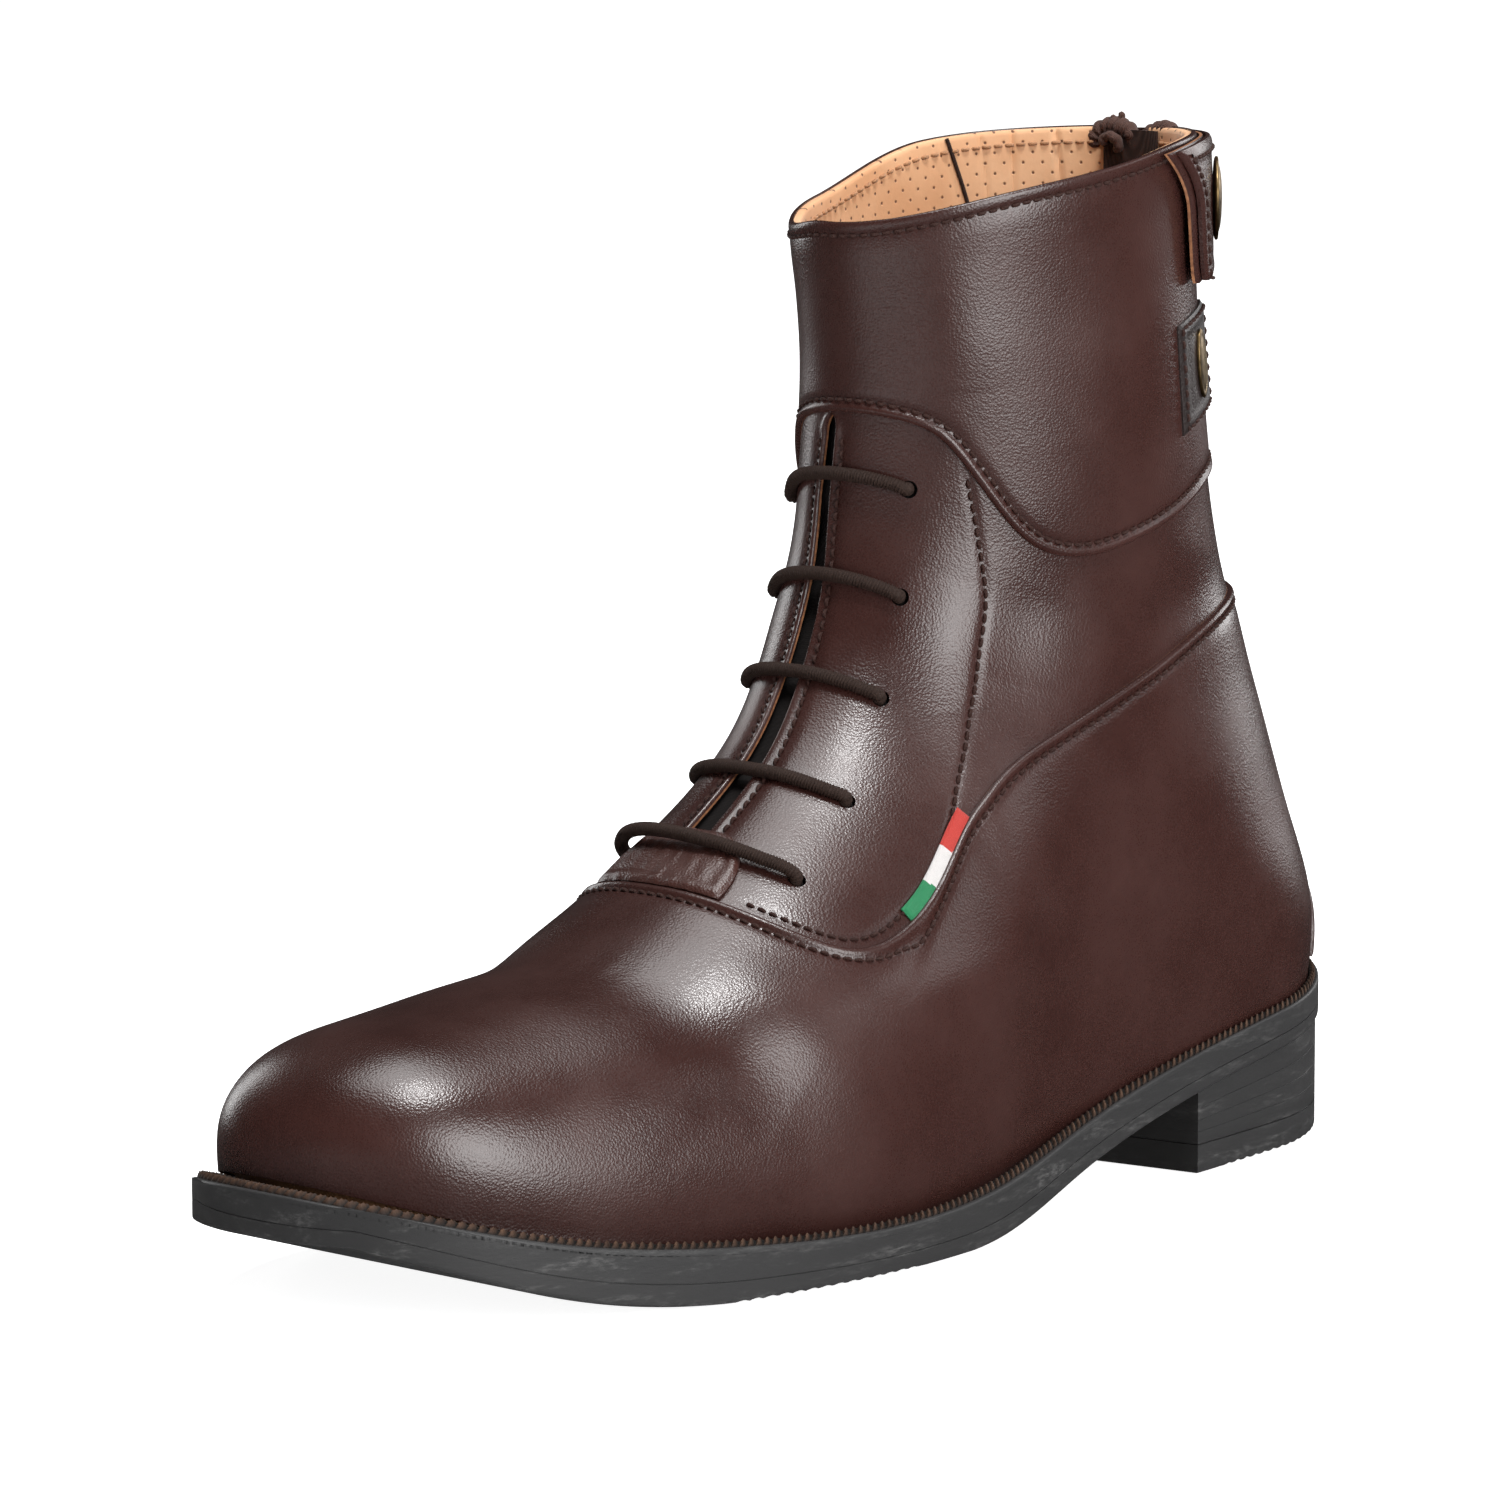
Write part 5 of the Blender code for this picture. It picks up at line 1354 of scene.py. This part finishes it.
def make_heel():
    foot = HEEL_LIFT_HEIGHT + SOLE_GAP
    section = list(HEEL_FOOT)
    for share, depth in HEEL_GROOVES:
        section += [(share + shift, depth * is_open) for shift, is_open in HEEL_GROOVE_SECTION]
    loops = []
    for share, inset in (*section, *HEEL_TOP):
        xy = heel_outline(inset)
        top = LAST.sole_bottom(xy[:, 1]) - SOLE_GAP
        loops.append(np.column_stack([xy, (1 - share) * foot + share * top]))
    add_heel_piece("heel", loops, 30)
    loops = [np.column_stack([heel_outline(LIFT_BASE_INSET), np.zeros(HEEL_POINTS)])]
    for share, inset in LIFT_SECTION:
        xy = heel_outline(inset)
        z = np.full(HEEL_POINTS, share * HEEL_LIFT_HEIGHT)
        if share < LIFT_TREAD_SHARE:
            z = z + (1 - share / LIFT_TREAD_SHARE) * heel_tread(xy[:, 1])
        loops.append(np.column_stack([xy, z]))
    add_heel_piece("heel_lift", loops, 35)


def add_heel_piece(name, loops, sharp):
    """Layer of the heel, with the second material, a darker copy of the rubber that paints shade on the
    breast, on the faces between the two breast corners.
    """
    mesh = lofted(name, loops)
    for face in mesh.polygons:
        places = [i % HEEL_POINTS for i in face.vertices]
        on_breast = min(places) >= HEEL_POINTS - BREAST_POINTS - 1 or {0, HEEL_POINTS - 1} <= set(places)
        if len(places) == 4 and on_breast:
            face.material_index = 1
    materials = [MATERIAL["rubber"], MATERIAL["breast"]]
    add_piece(f"{name}_look", mesh, materials, [name], sharp=sharp)


def heel_tread(y):
    return LIFT_TREAD_DEPTH * ribs(y) * smoothstep(y, LIFT_TREAD_RANGE)


def make_insole():
    loop, outward, _ = rail_points(INSOLE_POINTS)
    loops = []
    for rise, inward in INSOLE_SECTION:
        xy = loop + outward * (INSIDE_LIFT - 2 * GAP - inward)
        loops.append(np.column_stack([xy, outsole_top(xy[:, 1]) + rise]))
    mesh = capped("insole", loops)
    add_piece("insole_look", mesh, [MATERIAL["insole"]], ["insole"], sharp=60)


def arc_patch(band_rises, arc_rows, at_front):
    """Grid of places from rows of (band, rise) and the arcs of each row."""
    points, normals = [], []
    for (band, rise), arcs in zip(band_rises, arc_rows):
        p, n = surface(band, rise, turns_at(band, rise, arcs, at_front))
        points.append(p)
        normals.append(n)
    return np.array(points), np.array(normals)


def edge_relief(rows, columns, profile):
    """Lifts towards all four edges of a grid, from the outermost line inwards."""
    r = np.minimum(np.arange(rows), np.arange(rows)[::-1])[:, None]
    c = np.minimum(np.arange(columns), np.arange(columns)[::-1])[None, :]
    return np.interp(np.minimum(r, c), np.arange(len(profile)), profile)


def half_moon(band, moon, middle, columns, at_front):
    """Grid of places on a half-moon that stands on its straight edge."""
    tip, swell, power, foot, height = moon
    places, arcs = [], []
    for share in np.linspace(0, 1, MOON_ROWS):
        half = tip + swell * math.sqrt(max(1 - share**power, 0.0))
        places.append((band, foot + height * share))
        arcs.append(middle + np.linspace(-half, half, columns))
    return arc_patch(places, arcs, at_front)


def add_patch(name, points, normals, low, thickness, materials, replaces=(), profile=WORN_EDGE,
              extra=0.0):
    """A sheet that lies over the upper at a distance from it, with its own edge."""
    rows, columns = points.shape[:2]
    bottom = low + extra * np.ones((rows, columns))
    lift = bottom + thickness + edge_relief(rows, columns, profile)
    outer, inner = raised(points, normals, lift), raised(points, normals, bottom)
    mesh = shell_mesh(name, outer, inner, normals)
    return add_piece(name, mesh, materials, replaces)


def make_tongue():
    places = [(VAMP, r) for r in (0.9, 0.95)] + [(MIDDLE, r) for r in np.linspace(0.02, 0.98, 44)]
    places += [(CUFF, r) for r in (0.04, 0.12, 0.2, 0.28)]
    arcs = [SLIT_ARC + np.linspace(-25, 22, 40)] * len(places)
    points, normals = arc_patch(places, arcs, True)
    # The near-black suede paints the shade the tongue lies in behind the slit
    add_patch("tongue_look", points, normals, INSIDE_LIFT - GAP - TONGUE_THICKNESS, TONGUE_THICKNESS,
              [MATERIAL["suede_painted_shade"]] * 2, ["tongue"])


def make_throat_tab():
    columns = 48
    points, normals = half_moon(MIDDLE, THROAT_MOON, SLIT_ARC, columns, True)
    spread = np.linspace(-1, 1, columns)[None, :]
    climb = np.linspace(0, 1, MOON_ROWS)[:, None]
    folds = 0.10 * np.sin(26 * spread + 5 * climb) * np.sin(9 * climb + 3 * spread)
    folds = folds + 0.08 * np.sin(60 * spread - 8 * climb) * climb
    add_patch("throat_tab_look", points, normals, MIDDLE_LIFT + 0.25, TRIM_THICKNESS + 0.2,
              [MATERIAL["soft_leather"]] * 2, ["throat_tab"], BEADED_EDGE, folds)


def make_laces():
    for number, (rise, lateral_arc) in enumerate(LACE_BARS, start=1):
        outer_arc, inner_arc = lace_arcs(lateral_arc)
        arcs = np.linspace(inner_arc + 2.2, outer_arc - 2.2, 13)
        over = MIDDLE_LIFT + LACE_LOOK_RADIUS - LACE_SINK
        if number == len(LACE_BARS):
            over = over + 0.9 + 1.8 * np.sin(math.pi * np.linspace(0, 1, 13) ** 0.6) ** 2
        bar, _ = place(MIDDLE, rise, arcs, True, over)
        holes = np.array([inner_arc, outer_arc])
        ends = np.array([place(MIDDLE, rise, holes, True, lift)[0] for lift in LACE_END_LIFTS])
        path = np.concatenate([ends[:, 0], bar, ends[::-1, 1]])
        loops = tube_loops(even_path(path, 0.14), LACE_LOOK_RADIUS, 26, LACE_RIB)
        add_piece(f"lace_{number}", lofted(f"lace_{number}", loops), [MATERIAL["cord"]],
                  [f"lace_bar_{number}"], sharp=80)


def make_zip():
    places = [(VAMP, rise) for rise in np.linspace(ZIP_SLOT_FOOT - 0.05, 0.97, 24)]
    places += [(MIDDLE, rise) for rise in np.linspace(0.03, 0.97, 12)]
    places += [(CUFF, rise) for rise in np.linspace(0.0, 0.985, 30)]
    columns = np.linspace(-TAPE_HALF_WIDTH, TAPE_HALF_WIDTH, 27)
    points, normals = arc_patch(places, [columns] * len(places), False)
    lift = INSIDE_LIFT - GAP - TAPE_THICKNESS
    add_patch("zip_tape_look", points, normals, lift, TAPE_THICKNESS, [MATERIAL["tape"]] * 2,
              ["zip_tape"])
    spine, up = arc_patch(places, [np.array([0.0])] * len(places), False)
    spine = raised(spine, up, np.full(spine.shape[:2], lift + TAPE_THICKNESS + 0.15))[:, 0]
    line = even_path(spine[2:], 0.5)
    travel = travel_along(line)
    pieces = []
    count = int(travel[-1] / ZIP_TOOTH_PITCH)
    for i in range(count):
        spot = (i + 0.5) * travel[-1] / count
        centre = at_travel(spot, travel, line)
        ahead = at_travel(spot + 0.5, travel, line) - centre
        ahead /= np.linalg.norm(ahead)
        out = np.cross((1.0, 0.0, 0.0), ahead)
        out *= np.sign(out[1]) / np.linalg.norm(out)
        side = np.cross(ahead, out)
        side *= 1 if i % 2 else -1
        pieces.append(tooth(centre, ahead, out, side))
    mesh = mesh_from("zip_teeth", *join(pieces))
    add_piece("zip_teeth", mesh, [MATERIAL["teeth"]], ["zip_chain"], sharp=40)
    make_zip_ends(spine[-1])


def tooth(centre, ahead, out, side):
    """One tooth of the zip: a rounded bar from the tape's edge over the middle."""
    return tube([[centre + side * reach + ahead * half * dx + out * dz for dx, dz in ZIP_TOOTH_RING]
                 for reach, half in ZIP_TOOTH])


def make_zip_ends(top):
    """The tape's two ends above the rim, each rolled and folded over, with a loose tip."""
    pieces = []
    shares, sizes = np.array(ROLL_SIZES).T
    for route, radius in ZIP_ENDS:
        path = even_path(top + np.array(route) + np.array((0.0, 0.0, -0.2)), 0.25)
        size = radius * np.interp(np.linspace(0, 1, len(path)), shares, sizes)
        pieces.append(tube(tube_loops(path, size, 20, ROLL_RIB)))
    add_piece("zip_ends", mesh_from("zip_ends", *join(pieces)), [MATERIAL["tape_end"]], sharp=80)


def make_snap_tab():
    """Two layers of leather round the top of the back, standing off from the shaft towards the free edge."""
    table = smooth_path(TAB_FREE_EDGE)(np.linspace(0, 1, 200))
    rises = np.linspace(table[0, 0], table[-1, 0], 44)
    for name, low, thickness, shift, edge_material, replaces in TAB_LAYERS:
        edges = np.interp(rises, table[:, 0], table[:, 1]) + shift
        arcs = np.array([np.concatenate([np.linspace(TAB_BACK_ARC, edge - 6.0, 60),
                                         np.linspace(edge - 5.4, edge, 13)]) for edge in edges])
        points, normals = arc_patch([(CUFF, r) for r in rises], arcs, False)
        flare = TAB_FLARE * smoothstep(arcs - edges[:, None], TAB_FLARE_RANGE)
        add_patch(name, points, normals, low, thickness, [MATERIAL["leather"], MATERIAL[edge_material]],
                  replaces, TAB_EDGE, flare)


def turned(name, profile, sides):
    """Solid of revolution round Z from (radius, height) pairs that run down its outer side."""
    angle = np.linspace(0, 2 * math.pi, sides, endpoint=False)
    loops = [np.column_stack([r * np.cos(angle), r * np.sin(angle), np.full(sides, h)]) for r, h in profile]
    return lofted(name, np.array(loops)[::-1])


def stand_on_skin(piece, band, rise, arc, lift):
    points, normals = place(band, rise, np.array([arc]), False, lift)
    turn = Vector(normals[0]).to_track_quat("Z", "Y").to_matrix().to_4x4()
    piece.data.transform(Matrix.Translation(Vector(points[0]) * MM) @ turn)


def make_snap_cap():
    mesh = turned("snap_cap", CAP_PROFILE, 72)
    piece = add_piece("snap_cap_look", mesh, [MATERIAL["brass"]], ["snap_cap"], sharp=60)
    stand_on_skin(piece, CUFF, CAP_RISE, CAP_ARC, OVERLAY_LIFT + TAB_STAND_OFF + TAB_THICKNESS + 0.05)


def make_badge():
    rises, arcs = (np.linspace(*limits, 30) for limits in PATCH_RANGES)
    points, normals = arc_patch([(CUFF, r) for r in rises], [arcs] * len(rises), False)
    add_patch("badge_patch_look", points, normals, OVERLAY_LIFT + 0.02, PATCH_THICKNESS + 0.2,
              [MATERIAL["patch"]] * 2, ["badge_patch"], BEADED_EDGE)
    mesh = turned("badge_plate", PLATE_PROFILE, 64)
    mesh.transform(Matrix.Diagonal((*PLATE_HALVES, 1.0, 1.0)))
    piece = add_piece("badge_plate_look", mesh, [MATERIAL["brass"]], ["badge_plate"],
                      sharp=60)
    stand_on_skin(piece, CUFF, *PLATE_PLACE, OVERLAY_LIFT + PATCH_THICKNESS + 0.25)


def make_tape_tag():
    seam = SKIN.lines[MIDDLE](np.linspace(*TAG_SEAM_SHARES, 61))
    across = unit(np.gradient(seam, axis=0) @ np.array([[0.0, -1.0], [1.0, 0.0]]))
    points, normals = [], []
    for distance in np.linspace(*TAG_WIDTH, 13):
        y, z = (seam + across * distance).T
        point = LAST.point(1, y, z)
        points.append(point)
        normals.append(LAST.normal(1, point))
    points, normals = np.array(points), np.array(normals)
    colours = [MATERIAL[f"ribbon_{colour}"] for colour in ("red", "white", "green")]
    piece = add_patch("tape_tag_look", points, normals, MIDDLE_LIFT + 0.12, 0.6, colours,
                      ["tape_tag"])
    start, end = points[6, 0], points[6, -1]
    for face in piece.data.polygons:
        share = (np.array(face.center) / MM - start) @ (end - start) / ((end - start) @ (end - start))
        face.material_index = int(np.clip(share * 3, 0, 2))


def make_back_stay():
    points, normals = half_moon(VAMP, STAY_MOON, 0.0, 50, False)
    add_patch("back_stay_look", points, normals, OVERLAY_LIFT + 0.05, STAY_THICKNESS + 0.2,
              [MATERIAL["leather"]] * 2, ["back_stay"], BEADED_EDGE)


def line_on(band, rises, turns, lift):
    """A line over the leather, which follows its creases where it lies on the middle panel."""
    points, normals = surface(band, rises, turns)
    lift = lift + np.zeros(points.shape[:-1])
    if INSIDE_LIFT < lift.max() < OVERLAY_LIFT:
        lift = lift + crease_lift(points)
    return raised(points, normals, lift), normals


def seam_line(panel, distance, at_high, lift):
    """The line at a distance from a panel's lower or upper edge."""
    turns = panel.turn[-1 if at_high else 0]
    edge, inward = (1.0, -1) if at_high else (0.0, 1)
    rise = edge + inward * distance / edge_scale(panel.band, edge, turns, inward * EDGE_STEP)
    return line_on(panel.band, rise[4:-4], turns[4:-4], lift)


def make_stitches(vamp, cuff):
    points, normals = seam_line(cuff, LINING_ROW, True, INSIDE_LIFT - 0.08)
    mesh = mesh_from("lining_stitches", *stitch_row(points, -normals))
    add_piece("lining_stitches", mesh, [MATERIAL["tan_thread"]], sharp=80)
    rows = [seam_line(vamp, SEAM_ROW, True, 0.2), seam_line(cuff, SEAM_ROW, False, 0.2),
            seam_line(cuff, RIM_ROW, True, 0.24), *facing_rows(1), *facing_rows(-1), tab_stitches()]
    (low, high), (back, front) = PATCH_STITCHES
    up, along = np.linspace(low, high, 20), np.linspace(back, front, 12)
    rises = np.concatenate([np.full(12, low), up, np.full(12, high), up[::-1]])
    arcs = np.concatenate([along, np.full(20, front), along[::-1], np.full(20, back)])
    rows.append(arc_line(CUFF, rises, arcs, OVERLAY_LIFT + PATCH_THICKNESS + 0.16, False))
    mesh = mesh_from("stitches", *join([stitch_row(*row) for row in rows]))
    add_piece("stitches", mesh, [MATERIAL["thread"]], sharp=80)


def tab_stitches():
    """Row along the top and the free edge of the snap tab."""
    table = smooth_path(TAB_FREE_EDGE)(np.linspace(0.02, 1, 60))
    rises = np.concatenate([table[:-6, 0], np.full(40, 0.955)])
    arcs = np.concatenate([table[:-6, 1] - 2.6, np.linspace(table[-7, 1] - 4.0, -20.0, 40)])
    edges = np.interp(rises, table[:, 0], table[:, 1])
    flare = TAB_FLARE * smoothstep(arcs - edges, TAB_FLARE_RANGE)
    lift = TAB_OUTER_LIFT + TAB_OUTER_THICKNESS - 0.04 + flare
    return arc_line(CUFF, rises, arcs, lift, False)


def arc_line(band, rises, arcs, lift, at_front=True):
    turns = np.array([turns_at(band, r, a, at_front) for r, a in zip(rises, arcs)])
    return line_on(band, np.asarray(rises), turns, lift)


def add_light(name, size, power, spot, aim):
    data = bpy.data.lights.new(name, "AREA")
    data.shape = "RECTANGLE"
    data.size, data.size_y = size
    data.energy = power
    light = bpy.data.objects.new(name, data)
    light.location = spot
    light.rotation_euler = (Vector(aim) - Vector(spot)).to_track_quat("-Z", "Y").to_euler()
    bpy.context.scene.collection.objects.link(light)


def add_floor():
    mesh = bpy.data.meshes.new("floor")
    corners = [(x * FLOOR_HALF, y * FLOOR_HALF, FLOOR_Z) for x, y in ((-1, -1), (1, -1), (1, 1), (-1, 1))]
    mesh.from_pydata(corners, [], [(0, 1, 2, 3)])
    floor = bpy.data.objects.new("floor", mesh)
    bpy.context.scene.collection.objects.link(floor)
    look = Look("floor_pale", 0.9, Base_Color=(0.94, 0.94, 0.94, 1.0), Specular_IOR_Level=0.0,
                Emission_Color=(1.0, 1.0, 1.0, 1.0), Emission_Strength=FLOOR_GLOW)
    mesh.materials.append(look.material)
    floor.visible_glossy = False


def add_world():
    world = bpy.data.worlds.new("studio")
    world.use_nodes = True
    backdrop = world.node_tree.nodes["Background"]
    backdrop.inputs["Color"].default_value = (1.0, 1.0, 1.0, 1.0)
    backdrop.inputs["Strength"].default_value = WORLD_STRENGTH
    bpy.context.scene.world = world


def add_camera():
    azimuth, elevation = map(math.radians, VIEW_ANGLES)
    level = math.cos(elevation)
    back = Vector((math.sin(azimuth) * level, -math.cos(azimuth) * level, math.sin(elevation)))
    data = bpy.data.cameras.new("photo_view")
    data.sensor_width = SENSOR_WIDTH
    data.lens = VIEW_FOCAL / IMAGE_SIZE * SENSOR_WIDTH
    data.shift_x = (IMAGE_SIZE / 2 - VIEW_PIXEL[0]) / IMAGE_SIZE
    data.shift_y = (VIEW_PIXEL[1] - IMAGE_SIZE / 2) / IMAGE_SIZE
    data.clip_end = 50.0
    camera = bpy.data.objects.new("photo_view", data)
    camera.location = Vector(VIEW_TARGET) * MM + back * VIEW_DISTANCE * MM
    camera.rotation_euler = back.to_track_quat("Z", "Y").to_euler()
    bpy.context.scene.collection.objects.link(camera)
    bpy.context.scene.camera = camera


vamp = make_vamp()
make_quarters()
cuff = make_cuff()
make_lining()
make_tongue()
make_throat_tab()
make_hole_shadows()
make_laces()
make_zip()
make_snap_tab()
make_snap_cap()
make_badge()
make_tape_tag()
make_back_stay()
make_stitches(vamp, cuff)
make_welt()
make_outsole()
make_heel()
make_insole()

add_floor()
add_world()
for lamp in LIGHTS:
    add_light(*lamp)
add_camera()
bpy.context.scene.view_settings.view_transform = "Standard"

bpy.context.view_layer.update()
